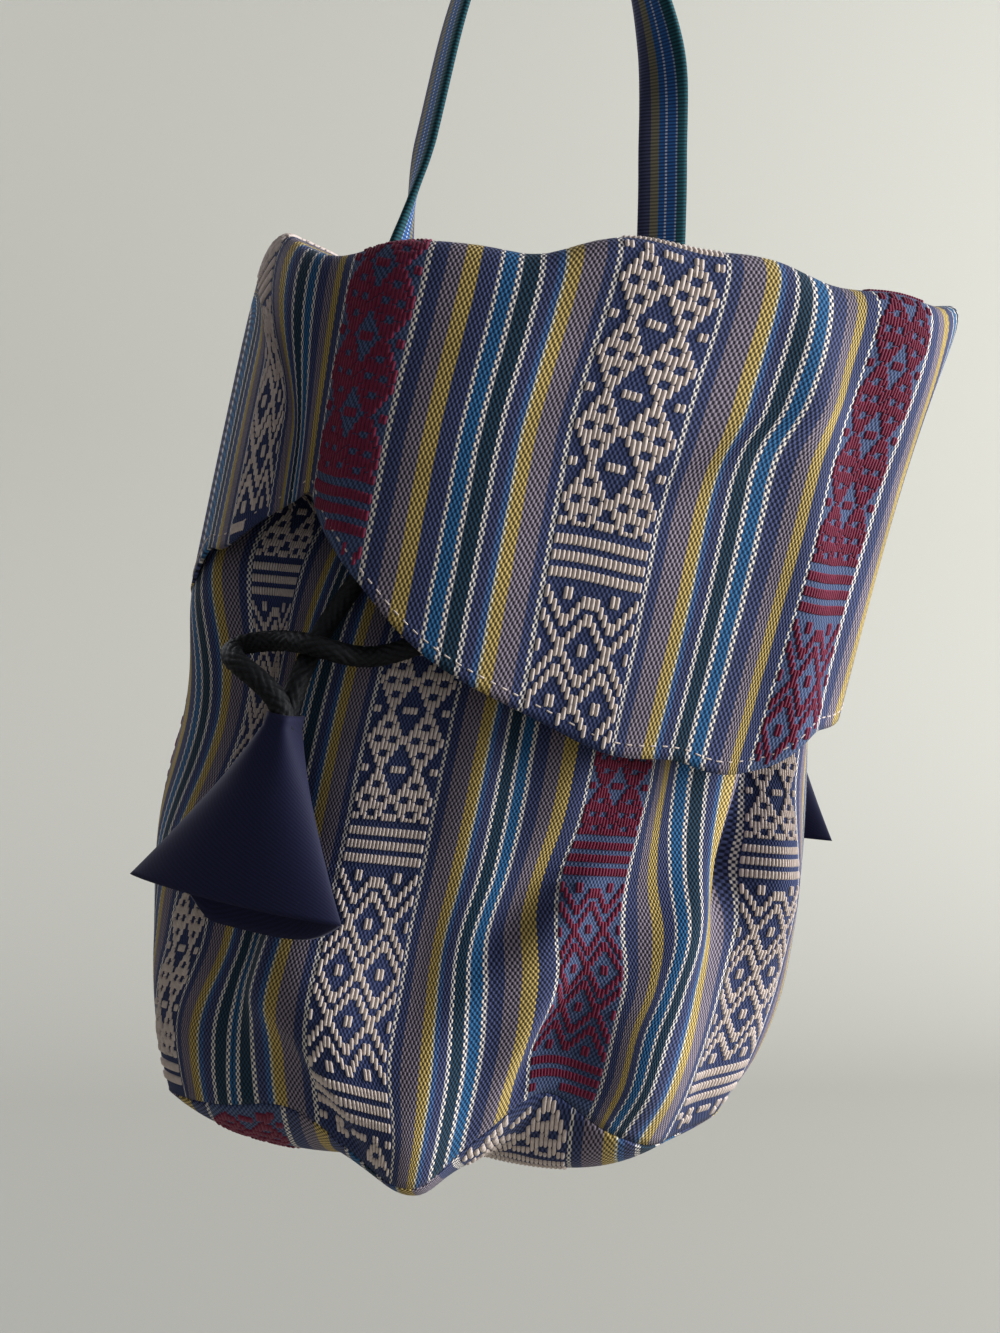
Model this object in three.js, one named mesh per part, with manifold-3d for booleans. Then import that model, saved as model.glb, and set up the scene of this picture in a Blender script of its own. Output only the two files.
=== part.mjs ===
// A small drawstring bag of hand-woven striped cotton, hanging by its carrying strap.
// Millimetres, +Z up, the front of the bag faces -Y. The origin is the point the strap hangs from.

import * as THREE from 'three';
import Module from 'manifold-3d';
import { mergeVertices } from 'three/addons/utils/BufferGeometryUtils.js';

// Cloth
const CLOTH = 1.6; // body cloth
const FLAP_CLOTH = 1.4; // outer cloth of the flap
const LINING = 0.9; // plain lining under the flap
const LINING_TRIM = 0.4; // share of the outermost grid cell by which the lining stays inside the hem
const SEAM_GAP = 0.3; // between pieces that are sewn together
const LAYER_GAP = 0.8; // between the flap's cloth and its lining
const LAY_GAP = 1.1; // between the uneven gathers and what is laid on them

// Body
const PANEL_WIDTH = 210; // front and back panel, from side seam to side seam
const PANEL_HEIGHT = 192; // along the cloth, from the base seam to the top of the casing
const BODY_RATIO = 0.62; // depth of the oval over its width
const BODY_LEAN = 0.1; // sideways lean of the slack bag, per unit of height
const PLEATS = 12; // gathers round the neck
const PLEAT_DEPTH = 5.2; // half the height of a gather at the neck
const SLACK_DEPTH = 0.9; // half the height of the slack folds at the belly
const GATHER_START = 62; // height on the cloth where the gathers begin
const BASE_EASE = 0.09; // share of the cloth eased in at the base seam
const BASE_ROUND = 34; // height over which it is eased in
const BASE_SAG = 20; // how far the base hangs below its seam
const SEAM_DIP = 11; // how far the base seam hangs at its lowest fold

// Drawcord and the casing it runs in
const CORD = 5; // diameter
const CORD_GAP = 0.6; // play round each cord in the casing
const CASING_HEIGHT = 17; // folded hem that holds both cords
const VENT_HALF = 12; // half the open top of each side seam, where the cords come out
const VENT_DROP = 13; // depth of that opening below the casing

// Cord ends, cones of plain cotton
const BELL_LENGTH = 46;
const BELL_HALF_WIDTH = 26;
const BELL_HALF_DEPTH = 6.5;
const BELL_CLOTH = 1.2;
const BELL_COLLAR = 7; // length of the part bound round both cord ends
const BELL_STANDOFF = 2; // air between a cone and the body

// Flap, sewn to the back below the casing, laid over the mouth and hanging round the front
const FLAP_HALF_WIDTH = 166;
const FLAP_SIDE = 94; // half width of the line where it turns down
const FLAP_OFFSET = 4; // how far to the right the flap has slipped
const FLAP_FRONT = 56; // how far forward that line lies
const FLAP_CENTRE = 8; // how far forward its middle lies
const FLAP_SQUARE = 2.6; // squareness of that line in plan
const FLAP_RISE = 15; // its height over the top of the casing
const FLAP_TILT = 0.06; // climb of that line to the right
const FLAP_DROP = 117; // hang at the lowest place of the front
const FLAP_LOWEST = 40; // where that place is, to the right of the middle
const FLAP_LEFT_CREASE = 93; // place of the left corner crease along the line
const FLAP_LEFT_DROP = 55; // hang at the left corner crease
const FLAP_LEFT_FOLD = 9; // depth of the left corner crease
const FLAP_LEFT_SPREAD = 10; // half width of the left corner crease
const FLAP_RIGHT_CREASE = 94;
const FLAP_RIGHT_DROP = 84;
const FLAP_RIGHT_FOLD = 24;
const FLAP_RIGHT_SPREAD = 30;
const FLAP_WING_DROP = 82; // hang at the rear edges of the sides
const FLAP_GATHER = 0.18; // width of the flap at the back seam over its cut width
const SEAM_FLATNESS = 0.88; // bend of the back seam over the bend of the body behind it
const FLAP_ROUND = 10; // rounding where it turns

// Carrying strap
const STRAP_WIDTH = 14;
const STRAP_THICKNESS = 2.4;
const STRAP_LEFT = -40;
const STRAP_RIGHT = 50;
const STRAP_SEWN = 16; // length sewn to the back
const STRAP_RISE = 122; // top of the loop over the flap

const CIRCUMFERENCE = 2 * PANEL_WIDTH;
const CORD_RADIUS = CORD / 2;
const TUNNEL_DEPTH = CORD + 2 * CORD_GAP;
const TUNNEL_HEIGHT = 2 * CORD + 3 * CORD_GAP;
const CASING_HALF = TUNNEL_DEPTH / 2 + CLOTH;

const clamp = (x) => Math.min(1, Math.max(0, x));
const smooth = (x) => clamp(x) * clamp(x) * (3 - 2 * clamp(x));
const mix = (a, b, t) => a + (b - a) * t;
const bump = (x, width) => Math.exp(-((x / width) ** 2));
const signedPower = (x, e) => Math.sign(x) * Math.abs(x) ** e;

// An oval of half width 1, walked by its length: 0 is the front centre, +-0.25 the sides, +-0.5 the back.
function makeOval(ratio, squareness) {
  const count = 1440;
  const points = [];
  const lengths = [0];
  for (let i = 0; i <= count; i++) {
    const angle = (2 * Math.PI * i) / count - Math.PI;
    const x = signedPower(Math.sin(angle), 2 / squareness);
    const y = -ratio * signedPower(Math.cos(angle), 2 / squareness);
    points.push([x, y]);
    if (i) lengths.push(lengths[i - 1] + Math.hypot(x - points[i - 1][0], y - points[i - 1][1]));
  }
  const total = lengths[count];
  const at = (share) => {
    const wanted = (((share + 0.5) % 1) + 1) % 1 * total;
    let low = 0;
    let high = count;
    while (high - low > 1) {
      const middle = (low + high) >> 1;
      if (lengths[middle] <= wanted) low = middle;
      else high = middle;
    }
    const t = (wanted - lengths[low]) / Math.max(1e-9, lengths[high] - lengths[low]);
    const x = mix(points[low][0], points[high][0], t);
    const y = mix(points[low][1], points[high][1], t);
    const nx = signedPower(x, squareness - 1);
    const ny = signedPower(y / ratio, squareness - 1) / ratio;
    const size = Math.hypot(nx, ny);
    return { x, y, nx: nx / size, ny: ny / size };
  };
  return { total, at };
}

const bodyOval = makeOval(BODY_RATIO, 2);

// Height of the gathers, from -1 to 1, unevenly spaced round the body.
function wave(share) {
  const turn = 2 * Math.PI * share;
  return Math.cos(turn * PLEATS + 1.1 * Math.sin(2 * turn + 0.7) + 0.8 * Math.sin(5 * turn + 2));
}

function pleatDepth(v) {
  const gathered = smooth((v - GATHER_START) / (PANEL_HEIGHT - CASING_HEIGHT - GATHER_START));
  return mix(SLACK_DEPTH, PLEAT_DEPTH, gathered ** 1.3);
}

// One level of the body cloth: every level has the same length of cloth, so gathers draw the oval in.
function makeRow(v) {
  const depth = pleatDepth(v);
  const length = CIRCUMFERENCE * (1 - BASE_EASE * clamp(1 - v / BASE_ROUND) ** 2);
  const count = 480;
  const points = [];
  for (let i = 0; i <= count; i++) {
    const share = i / count - 0.5;
    points.push({ ...bodyOval.at(share), lift: depth * wave(share) });
  }
  let half = length / bodyOval.total;
  let run = [];
  for (let pass = 0; pass < 12; pass++) {
    run = [0];
    for (let i = 1; i <= count; i++) {
      const a = points[i - 1];
      const b = points[i];
      const dx = half * (b.x - a.x) + b.nx * b.lift - a.nx * a.lift;
      const dy = half * (b.y - a.y) + b.ny * b.lift - a.ny * a.lift;
      run.push(run[i - 1] + Math.hypot(dx, dy));
    }
    half *= length / run[count];
  }
  return { v, depth, half, run, count };
}

const CASING_START = PANEL_HEIGHT - CASING_HEIGHT;
const levels = [0, 0.07, 0.17, 0.28, 0.4, 0.52, 0.64, 0.76, 0.88, 0.97].map((t) => t * CASING_START);
levels.push(CASING_START + 2, PANEL_HEIGHT);
const rows = levels.map(makeRow);
rows[0].z = 0;
for (let i = 1; i < rows.length; i++) {
  const inward = ((rows[i].half - rows[i - 1].half) * (1 + BODY_RATIO)) / 2;
  const along = rows[i].v - rows[i - 1].v;
  rows[i].z = rows[i - 1].z + Math.sqrt(Math.max(0.2 * along * along, along * along - inward * inward));
}
const neck = rows[rows.length - 1];
const CASING_TOP = neck.z;
const TUNNEL_Z = CASING_TOP - CASING_HEIGHT / 2;

// Half width of the body oval at a height
function halfAt(z) {
  let i = 1;
  while (i < rows.length - 1 && rows[i].z < z) i++;
  return mix(rows[i - 1].half, rows[i].half, clamp((z - rows[i - 1].z) / (rows[i].z - rows[i - 1].z)));
}

function depthAt(z) {
  let i = 1;
  while (i < rows.length - 1 && rows[i].z < z) i++;
  return mix(rows[i - 1].depth, rows[i].depth, clamp((z - rows[i - 1].z) / (rows[i].z - rows[i - 1].z)));
}

// Slack folds of the hanging cloth: place round the front (s), height (v), slant, length, width, lift.
const SLACK_FOLDS = [
  { s: -48, v: 22, slant: -0.75, length: 44, width: 12, lift: 6 },
  { s: -22, v: 30, slant: -0.35, length: 40, width: 10, lift: -5 },
  { s: 34, v: 22, slant: 0.5, length: 34, width: 13, lift: 5 },
  { s: 47, v: 78, slant: 0.25, length: 46, width: 11, lift: -5 },
  { s: 76, v: 60, slant: -0.45, length: 42, width: 13, lift: 4 },
  { s: 12, v: 56, slant: -1.1, length: 36, width: 10, lift: 3 },
  { s: -84, v: 44, slant: 0.3, length: 40, width: 12, lift: 4 },
  { s: -160, v: 40, slant: 0.6, length: 42, width: 13, lift: 4 },
  { s: 150, v: 50, slant: -0.5, length: 44, width: 13, lift: 4 },
  { s: 200, v: 30, slant: 0.9, length: 36, width: 12, lift: -4 },
];

function slackLift(s, v) {
  let lift = 0;
  for (const fold of SLACK_FOLDS) {
    const turn = ((s - fold.s + 1.5 * CIRCUMFERENCE) % CIRCUMFERENCE) - CIRCUMFERENCE / 2;
    const along = turn * Math.sin(fold.slant) + (v - fold.v) * Math.cos(fold.slant);
    const across = turn * Math.cos(fold.slant) - (v - fold.v) * Math.sin(fold.slant);
    lift += fold.lift * bump(across, fold.width) * bump(along, fold.length);
  }
  return lift * smooth(v / 10) * smooth((CASING_START - v) / 50);
}

// The base seam hangs in two folds at the front and one at the back.
function seamDip(s) {
  const round = (x) => ((x + 1.5 * CIRCUMFERENCE) % CIRCUMFERENCE) - CIRCUMFERENCE / 2;
  const front = bump(round(s + 44), 26) + 0.55 * bump(round(s - 36), 24);
  return -SEAM_DIP * (front + 0.5 * bump(round(s - 190), 40) - 0.35 * bump(round(s + 4), 16));
}

// Point of the body cloth at s round the body on one level, moved outwards by a given amount
function bodyPoint(s, row, outwards) {
  const total = row.run[row.count];
  const wanted = clamp(s / CIRCUMFERENCE + 0.5) * total;
  let i = 1;
  while (i < row.count && row.run[i] < wanted) i++;
  const t = (wanted - row.run[i - 1]) / Math.max(1e-9, row.run[i] - row.run[i - 1]);
  const share = (i - 1 + t) / row.count - 0.5;
  const o = bodyOval.at(share);
  const lift = row.depth * wave(share) + slackLift(s, row.v) + outwards(share);
  const z = row.z + seamDip(s) * (1 - smooth(row.v / 75));
  return new THREE.Vector3(row.half * o.x + o.nx * lift, row.half * o.y + o.ny * lift, z);
}

// Closed solid between two grids of points with the same rows and columns
function solidBetween(outer, inner) {
  const rowsCount = outer.length;
  const columns = outer[0].length;
  const positions = [];
  for (const row of [...outer, ...inner]) {
    for (const p of row) positions.push(p.x, p.y, p.z);
  }
  const index = [];
  const id = (side, i, j) => side * rowsCount * columns + i * columns + j;
  const quad = (a, b, c, d) => index.push(a, b, c, a, c, d);
  for (let i = 0; i + 1 < rowsCount; i++) {
    for (let j = 0; j + 1 < columns; j++) {
      quad(id(0, i, j), id(0, i, j + 1), id(0, i + 1, j + 1), id(0, i + 1, j));
      quad(id(1, i, j), id(1, i + 1, j), id(1, i + 1, j + 1), id(1, i, j + 1));
    }
  }
  for (let j = 0; j + 1 < columns; j++) {
    const top = rowsCount - 1;
    quad(id(1, 0, j), id(1, 0, j + 1), id(0, 0, j + 1), id(0, 0, j));
    quad(id(0, top, j), id(0, top, j + 1), id(1, top, j + 1), id(1, top, j));
  }
  for (let i = 0; i + 1 < rowsCount; i++) {
    const last = columns - 1;
    quad(id(1, i, 0), id(0, i, 0), id(0, i + 1, 0), id(1, i + 1, 0));
    quad(id(0, i, last), id(1, i, last), id(1, i + 1, last), id(0, i + 1, last));
  }
  return makeGeometry(positions, index);
}

// Closed ring through a list of loops of points, each joined to the next and the last to the first
function solidRing(loops) {
  const positions = loops.flat().flatMap((p) => [p.x, p.y, p.z]);
  const sides = loops[0].length;
  const index = [];
  loops.forEach((loop, k) => {
    const here = k * sides;
    const next = ((k + 1) % loops.length) * sides;
    for (let j = 0; j < sides; j++) {
      const jn = (j + 1) % sides;
      index.push(here + j, next + j, next + jn, here + j, next + jn, here + jn);
    }
  });
  return makeGeometry(positions, index);
}

// Closed rod through a list of loops of points, shut at both ends
function solidRod(loops) {
  const positions = loops.flat().flatMap((p) => [p.x, p.y, p.z]);
  const sides = loops[0].length;
  const last = (loops.length - 1) * sides;
  const index = [];
  for (let k = 0; k + 1 < loops.length; k++) {
    for (let j = 0; j < sides; j++) {
      const a = k * sides + j;
      const b = k * sides + ((j + 1) % sides);
      index.push(a, b, b + sides, a, b + sides, a + sides);
    }
  }
  for (let j = 1; j + 1 < sides; j++) index.push(0, j + 1, j, last, last + j, last + j + 1);
  return makeGeometry(positions, index);
}

function makeGeometry(positions, index) {
  const geometry = new THREE.BufferGeometry();
  geometry.setAttribute('position', new THREE.Float32BufferAttribute(positions, 3));
  geometry.setIndex(index);
  return volumeOf(geometry) < 0 ? flipped(geometry) : geometry;
}

function volumeOf(geometry) {
  const p = geometry.attributes.position;
  const a = new THREE.Vector3();
  const b = new THREE.Vector3();
  const c = new THREE.Vector3();
  let sum = 0;
  for (let i = 0; i < geometry.index.count; i += 3) {
    a.fromBufferAttribute(p, geometry.index.getX(i));
    b.fromBufferAttribute(p, geometry.index.getX(i + 1));
    c.fromBufferAttribute(p, geometry.index.getX(i + 2));
    sum += a.dot(b.cross(c));
  }
  return sum;
}

function flipped(geometry) {
  const old = geometry.index.array;
  const turned = [];
  for (let i = 0; i < old.length; i += 3) turned.push(old[i], old[i + 2], old[i + 1]);
  geometry.setIndex(turned);
  return geometry;
}

const wasm = await Module();
wasm.setup();

function toManifold(geometry) {
  const bare = new THREE.BufferGeometry();
  bare.setAttribute('position', geometry.attributes.position.clone());
  bare.setIndex(geometry.index.clone());
  const welded = mergeVertices(bare, 1e-4);
  const mesh = new wasm.Mesh({
    numProp: 3,
    vertProperties: new Float32Array(welded.attributes.position.array),
    triVerts: new Uint32Array(welded.index.array),
  });
  mesh.merge();
  return new wasm.Manifold(mesh);
}

function fromManifold(solid) {
  const mesh = solid.getMesh();
  const positions = [];
  for (let i = 0; i < mesh.vertProperties.length; i += mesh.numProp) {
    positions.push(mesh.vertProperties[i], mesh.vertProperties[i + 1], mesh.vertProperties[i + 2]);
  }
  return makeGeometry(positions, [...mesh.triVerts]);
}

// The drawcords lie inside the gathers of the neck.
const tunnelInset = PLEAT_DEPTH + CASING_HALF;
function tunnelPoint(share, z, outwards = 0) {
  const o = bodyOval.at(share);
  const out = outwards - tunnelInset;
  return new THREE.Vector3(neck.half * o.x + o.nx * out, neck.half * o.y + o.ny * out, z);
}

// Way through the casing for both cords, all round
function makeTunnel() {
  const steps = 96;
  const loops = [];
  for (let k = 0; k < steps; k++) {
    const corners = [[-1, -1], [1, -1], [1, 1], [-1, 1]];
    loops.push(corners.map(([out, up]) => {
      const z = TUNNEL_Z + (up * TUNNEL_HEIGHT) / 2;
      return tunnelPoint(k / steps, z, (out * TUNNEL_DEPTH) / 2);
    }));
  }
  return toManifold(solidRing(loops));
}

// Front or back panel with its casing; middle is the place of the panel's centre round the body.
function makePanel(middle, cutters) {
  const columns = 36;
  const width = PANEL_WIDTH - SEAM_GAP;
  const places = [];
  for (let j = 0; j <= columns; j++) places.push(middle + width * (j / columns - 0.5));
  const wrap = (s) => (s > CIRCUMFERENCE / 2 ? s - CIRCUMFERENCE : s);
  const hem = (row) => smooth((row.v - 0.94 * CASING_START) / (1.012 * CASING_START - 0.94 * CASING_START));
  const thickness = (row, share) => {
    const folded = row.depth * (1 + wave(share)) + 2 * CASING_HALF + 0.5 * row.depth * (1 + wave(share));
    return mix(CLOTH, folded, row.v > CASING_START ? 1 : 0.35 * hem(row));
  };
  const outer = rows.map((row) => places.map((s) => bodyPoint(wrap(s), row, () => 0)));
  const inner = rows.map((row) => {
    const inwards = (share) => -thickness(row, share);
    return places.map((s) => bodyPoint(wrap(s), row, inwards));
  });
  let solid = toManifold(solidBetween(outer, inner));
  for (const cutter of cutters) solid = solid.subtract(cutter);
  return fromManifold(solid);
}

function makeVent() {
  const height = CASING_HEIGHT + VENT_DROP + 10;
  const vent = wasm.Manifold.cube([4 * neck.half, 2 * VENT_HALF, height], true);
  return vent.translate([0, 0, CASING_TOP + 10 - height / 2]);
}

// Sagging base under the panels
function makeBase() {
  const around = 72;
  const rings = [1, 0.82, 0.54, 0.2];
  const rim = [];
  for (let j = 0; j < around; j++) rim.push(bodyPoint(CIRCUMFERENCE * (j / around - 0.5), rows[0], () => 0));
  const height = (p, r) => p.z * r ** 3 - BASE_SAG * (1 - r ** 2) - SEAM_GAP;
  const loop = (r, drop) => rim.map((p) => new THREE.Vector3(p.x * r, p.y * r, height(p, r) - drop));
  const loops = [...rings.map((r) => loop(r, 0)).reverse(), ...rings.map((r) => loop(r, CLOTH))];
  return solidRod(loops);
}

// Line where the flap turns down, seen from above, and the point of the back seam behind it
const flapOval = makeOval((FLAP_FRONT - FLAP_CENTRE) / FLAP_SIDE, FLAP_SQUARE);
const BACK_SEAM_Z = CASING_TOP - CASING_HEIGHT - 5;
const FLAP_TOP = CASING_TOP + FLAP_RISE;
const layers = FLAP_CLOTH + LAYER_GAP + LINING;

function backSeam(x) {
  const off = depthAt(BACK_SEAM_Z) + layers + LAY_GAP;
  const half = halfAt(BACK_SEAM_Z) + off;
  const depth = halfAt(BACK_SEAM_Z) * BODY_RATIO + off;
  return depth * Math.sqrt(Math.max(0.05, 1 - ((SEAM_FLATNESS * x) / half) ** 2));
}

// Length of the flap below the line where it turns down
function flapDrop(p) {
  const crease = p < FLAP_LOWEST ? -FLAP_LEFT_CREASE : FLAP_RIGHT_CREASE;
  const corner = p < FLAP_LOWEST ? FLAP_LEFT_DROP : FLAP_RIGHT_DROP;
  const share = (p - FLAP_LOWEST) / (crease - FLAP_LOWEST);
  if (share < 1) return mix(FLAP_DROP, corner, share ** 2.4);
  const wing = (Math.abs(p) - Math.abs(crease)) / (FLAP_HALF_WIDTH - Math.abs(crease));
  return mix(corner, FLAP_WING_DROP, clamp(wing) ** 0.7);
}

// Rounds the corners of a line of points by cutting them.
function rounded(line, times) {
  let points = line;
  for (let k = 0; k < times; k++) {
    const cut = [points[0]];
    for (let i = 0; i + 1 < points.length; i++) {
      cut.push(points[i].clone().lerp(points[i + 1], 0.25), points[i].clone().lerp(points[i + 1], 0.75));
    }
    cut.push(points[points.length - 1]);
    points = cut;
  }
  return points;
}

function alongLine(points, distance) {
  let left = distance;
  for (let i = 1; i < points.length; i++) {
    const step = points[i].distanceTo(points[i - 1]);
    if (left <= step || i === points.length - 1) return points[i - 1].clone().lerp(points[i], left / step);
    left -= step;
  }
  return points[0].clone();
}

function lineLength(points) {
  let sum = 0;
  for (let i = 1; i < points.length; i++) sum += points[i].distanceTo(points[i - 1]);
  return sum;
}

// One warp thread of the flap: up the back, over the mouth, down at the front or side.
function flapThread(p) {
  const o = flapOval.at(p / (FLAP_SIDE * flapOval.total));
  const leftFold = FLAP_LEFT_FOLD * bump(p + FLAP_LEFT_CREASE, FLAP_LEFT_SPREAD);
  const rightFold = FLAP_RIGHT_FOLD * bump(p - FLAP_RIGHT_CREASE, FLAP_RIGHT_SPREAD);
  const x = FLAP_OFFSET + FLAP_SIDE * o.x;
  const y = FLAP_SIDE * o.y - FLAP_CENTRE;
  const backX = FLAP_GATHER * p;
  const backY = backSeam(backX);
  const away = Math.hypot(x - backX, y - backY);
  const ripple = (1.6 * Math.sin(p / 13 + 0.6) + 1.2 * Math.sin(p / 7.1)) * smooth((away - 35) / 50);
  const top = FLAP_TOP + FLAP_TILT * x + ripple - 0.2 * leftFold;
  const inset = Math.min(FLAP_ROUND, 0.36 * away);
  const toBack = new THREE.Vector2(backX - x, backY - y).multiplyScalar(1 / away);
  const drop = flapDrop(p);
  const pinch = (t) => -leftFold * (0.3 + 0.7 * t) - rightFold * t;
  const hang = (t, out) => {
    const move = out + pinch(t);
    return new THREE.Vector3(x + o.nx * move, y + o.ny * move, top - drop * t);
  };
  const backTop = FLAP_TOP + FLAP_TILT * backX;
  const roof = (d) => new THREE.Vector3(x + toBack.x * d, y + toBack.y * d, mix(top, backTop, d / away));
  const line = [
    new THREE.Vector3(backX, backY, BACK_SEAM_Z - 4),
    new THREE.Vector3(backX, backY, FLAP_TOP - FLAP_ROUND),
    roof(away).lerp(roof(away - inset), 0.25),
    roof(away - inset),
    roof(inset),
    hang(0, 0).lerp(roof(inset), 0.25),
    hang(FLAP_ROUND / drop, 0.5),
    hang(0.6, 1.5),
    hang(1, 2),
  ];
  const rise = FLAP_TOP - BACK_SEAM_Z + 4;
  const marks = [0, rise - inset, rise, rise + inset, rise + away / 2, rise + away - inset, rise + away];
  for (const part of [FLAP_ROUND / drop, 0.3, 0.55, 0.78, 1]) marks.push(rise + away + part * drop);
  return { line: rounded(line, 3), stations: marks.map((m) => m / (rise + away + drop)) };
}

// Outer face of the flap as a grid of points with their normals
function makeFlapGrid() {
  const columns = 36;
  const threads = [];
  for (let j = 0; j <= columns; j++) {
    const { line, stations } = flapThread(FLAP_HALF_WIDTH * (2 * (j / columns) - 1));
    const length = lineLength(line);
    threads.push(stations.map((t) => alongLine(line, t * length)));
  }
  const last = threads[0].length - 1;
  const difference = (a, b) => b.clone().sub(a);
  return threads[0].map((_, i) => threads.map((thread, j) => {
    const before = threads[Math.max(0, j - 1)];
    const after = threads[Math.min(columns, j + 1)];
    const along = difference(thread[Math.max(0, i - 1)], thread[Math.min(last, i + 1)]);
    return { point: thread[i], normal: along.cross(difference(before[i], after[i])).normalize() };
  }));
}

// Moves the edges of a grid of points inwards by a share of its outermost cells.
function trimmed(grid, share) {
  const trimLine = (line) => {
    const last = line.length - 1;
    const cut = [...line];
    cut[0] = line[0].clone().lerp(line[1], share);
    cut[last] = line[last].clone().lerp(line[last - 1], share);
    return cut;
  };
  const narrowed = grid.map(trimLine);
  const first = narrowed[0].map((p, j) => p.clone().lerp(narrowed[1][j], share));
  const top = narrowed.length - 1;
  const final = narrowed[top].map((p, j) => p.clone().lerp(narrowed[top - 1][j], share));
  return [first, ...narrowed.slice(1, top), final];
}

function makeFlapLayer(grid, depth, thickness, trim) {
  const face = (d) => {
    const moved = grid.map((row) => row.map((g) => g.point.clone().addScaledVector(g.normal, -d)));
    return trimmed(moved, trim);
  };
  return solidBetween(face(depth), face(depth + thickness));
}

// How far the gathers of the back reach in one direction behind a strap's sewn end
function backReach(x, out, low, high) {
  let reach = 0;
  const wrap = (s) => (s > CIRCUMFERENCE / 2 ? s - CIRCUMFERENCE : s);
  for (let k = 0; k <= 72; k++) {
    const s = wrap(PANEL_WIDTH * (0.5 + k / 72));
    const thread = rows.map((row) => bodyPoint(s, row, () => 0));
    for (let i = 1; i < thread.length; i++) {
      for (const t of [0, 0.25, 0.5, 0.75, 1]) {
        const p = thread[i - 1].clone().lerp(thread[i], t);
        const behind = Math.abs(p.x - x) < 0.6 * STRAP_WIDTH && p.z > low - 2 && p.z < high;
        if (behind) reach = Math.max(reach, p.x * out.x + p.y * out.y);
      }
    }
  }
  return reach;
}

// Carrying strap: one flat loop sewn to the back, turned on edge on its way over the top
function makeStrap() {
  const low = BACK_SEAM_Z - STRAP_SEWN;
  const high = BACK_SEAM_Z + 3;
  const foot = (x) => {
    const slope = (backSeam(x + 1) - backSeam(x - 1)) / 2;
    const across = new THREE.Vector3(1, slope, 0).normalize();
    const out = new THREE.Vector3(-across.y, across.x, 0);
    const seat = new THREE.Vector3(x, backSeam(x), 0);
    const standoff = backReach(x, out, low, high) + SEAM_GAP + STRAP_THICKNESS / 2;
    return { across, seat: seat.addScaledVector(out, standoff - seat.dot(out)) };
  };
  const left = foot(STRAP_LEFT);
  const right = foot(STRAP_RIGHT);
  const crown = FLAP_TOP + STRAP_RISE;
  const middle = mix(STRAP_LEFT, STRAP_RIGHT, 0.345);
  const back = backSeam(0) + SEAM_GAP + STRAP_THICKNESS;
  const points = [
    new THREE.Vector3(left.seat.x, left.seat.y, low),
    new THREE.Vector3(left.seat.x, left.seat.y, high),
    new THREE.Vector3(left.seat.x, back, FLAP_TOP - 4),
    new THREE.Vector3(left.seat.x + 1, back, FLAP_TOP + 0.42 * STRAP_RISE),
    new THREE.Vector3(left.seat.x + 4, back, crown - 33),
    new THREE.Vector3(mix(left.seat.x, middle, 0.4), back, crown - 9),
    new THREE.Vector3(middle, back, crown),
    new THREE.Vector3(mix(middle, right.seat.x, 0.38), back, crown - 10),
    new THREE.Vector3(mix(middle, right.seat.x, 0.66), back, crown - 36),
    new THREE.Vector3(mix(middle, right.seat.x, 0.8), back, FLAP_TOP + 0.42 * STRAP_RISE),
    new THREE.Vector3(right.seat.x - 1, back, FLAP_TOP - 4),
    new THREE.Vector3(right.seat.x, right.seat.y, high),
    new THREE.Vector3(right.seat.x, right.seat.y, low),
  ];
  const curve = new THREE.CatmullRomCurve3(points, false, 'centripetal');
  const steps = 42;
  const loops = [];
  for (let k = 0; k <= steps; k++) {
    const t = k / steps;
    const centre = curve.getPointAt(t);
    const along = curve.getTangentAt(t);
    const flat = t < 0.5 ? left.across : right.across;
    const edge = new THREE.Vector3(0, t < 0.5 ? 1 : -1, 0);
    const turn = t < 0.5 ? smooth((t - 0.13) / 0.13) : smooth((0.7 - t) / 0.15);
    const wide = flat.clone().multiplyScalar(Math.cos((turn * Math.PI) / 2));
    wide.addScaledVector(edge, Math.sin((turn * Math.PI) / 2));
    wide.addScaledVector(along, -wide.dot(along)).normalize();
    const thick = along.clone().cross(wide).normalize();
    const side = t < 0.5 ? 1 : -1;
    const corner = (w, h) => centre.clone()
      .addScaledVector(wide, (w * side * STRAP_WIDTH) / 2)
      .addScaledVector(thick, (h * side * STRAP_THICKNESS) / 2);
    loops.push([corner(-1, -1), corner(1, -1), corner(1, 1), corner(-1, 1)]);
  }
  const hang = new THREE.Vector3(middle, back, crown - STRAP_THICKNESS / 2);
  return { geometry: solidRod(loops), hang };
}

// Place beside the body: direction round it in degrees from the front, height, distance off the cloth
function beside(degrees, z, distance) {
  const angle = THREE.MathUtils.degToRad(degrees);
  const half = halfAt(z);
  const normal = new THREE.Vector2(Math.sin(angle), -Math.cos(angle) / BODY_RATIO).normalize();
  const out = depthAt(z) + distance;
  const x = half * Math.sin(angle) + normal.x * out;
  const y = -half * BODY_RATIO * Math.cos(angle) + normal.y * out;
  return new THREE.Vector3(x, y, z);
}

// Cord end: apex below which the cone hangs, with its wide way along the body
function makeBellFrame(degrees, topZ, tilt) {
  const angle = THREE.MathUtils.degToRad(degrees);
  const out = new THREE.Vector3(Math.sin(angle), -Math.cos(angle), 0);
  const wide = new THREE.Vector3(Math.cos(angle), Math.sin(angle), 0);
  const half = halfAt(topZ - BELL_LENGTH);
  const reach = Math.hypot(half * out.x, half * BODY_RATIO * out.y);
  const foot = half * half * (1 - BODY_RATIO * BODY_RATIO) * out.x * -out.y / reach;
  const off = reach + 6.5 + BELL_HALF_DEPTH + BELL_STANDOFF;
  const apex = out.clone().multiplyScalar(off).addScaledVector(wide, foot);
  apex.z = topZ;
  const down = new THREE.Vector3(0, 0, -1).addScaledVector(wide, tilt).normalize();
  const side = wide.clone().addScaledVector(down, -wide.dot(down)).normalize();
  return { apex, out, side, down };
}

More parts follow.
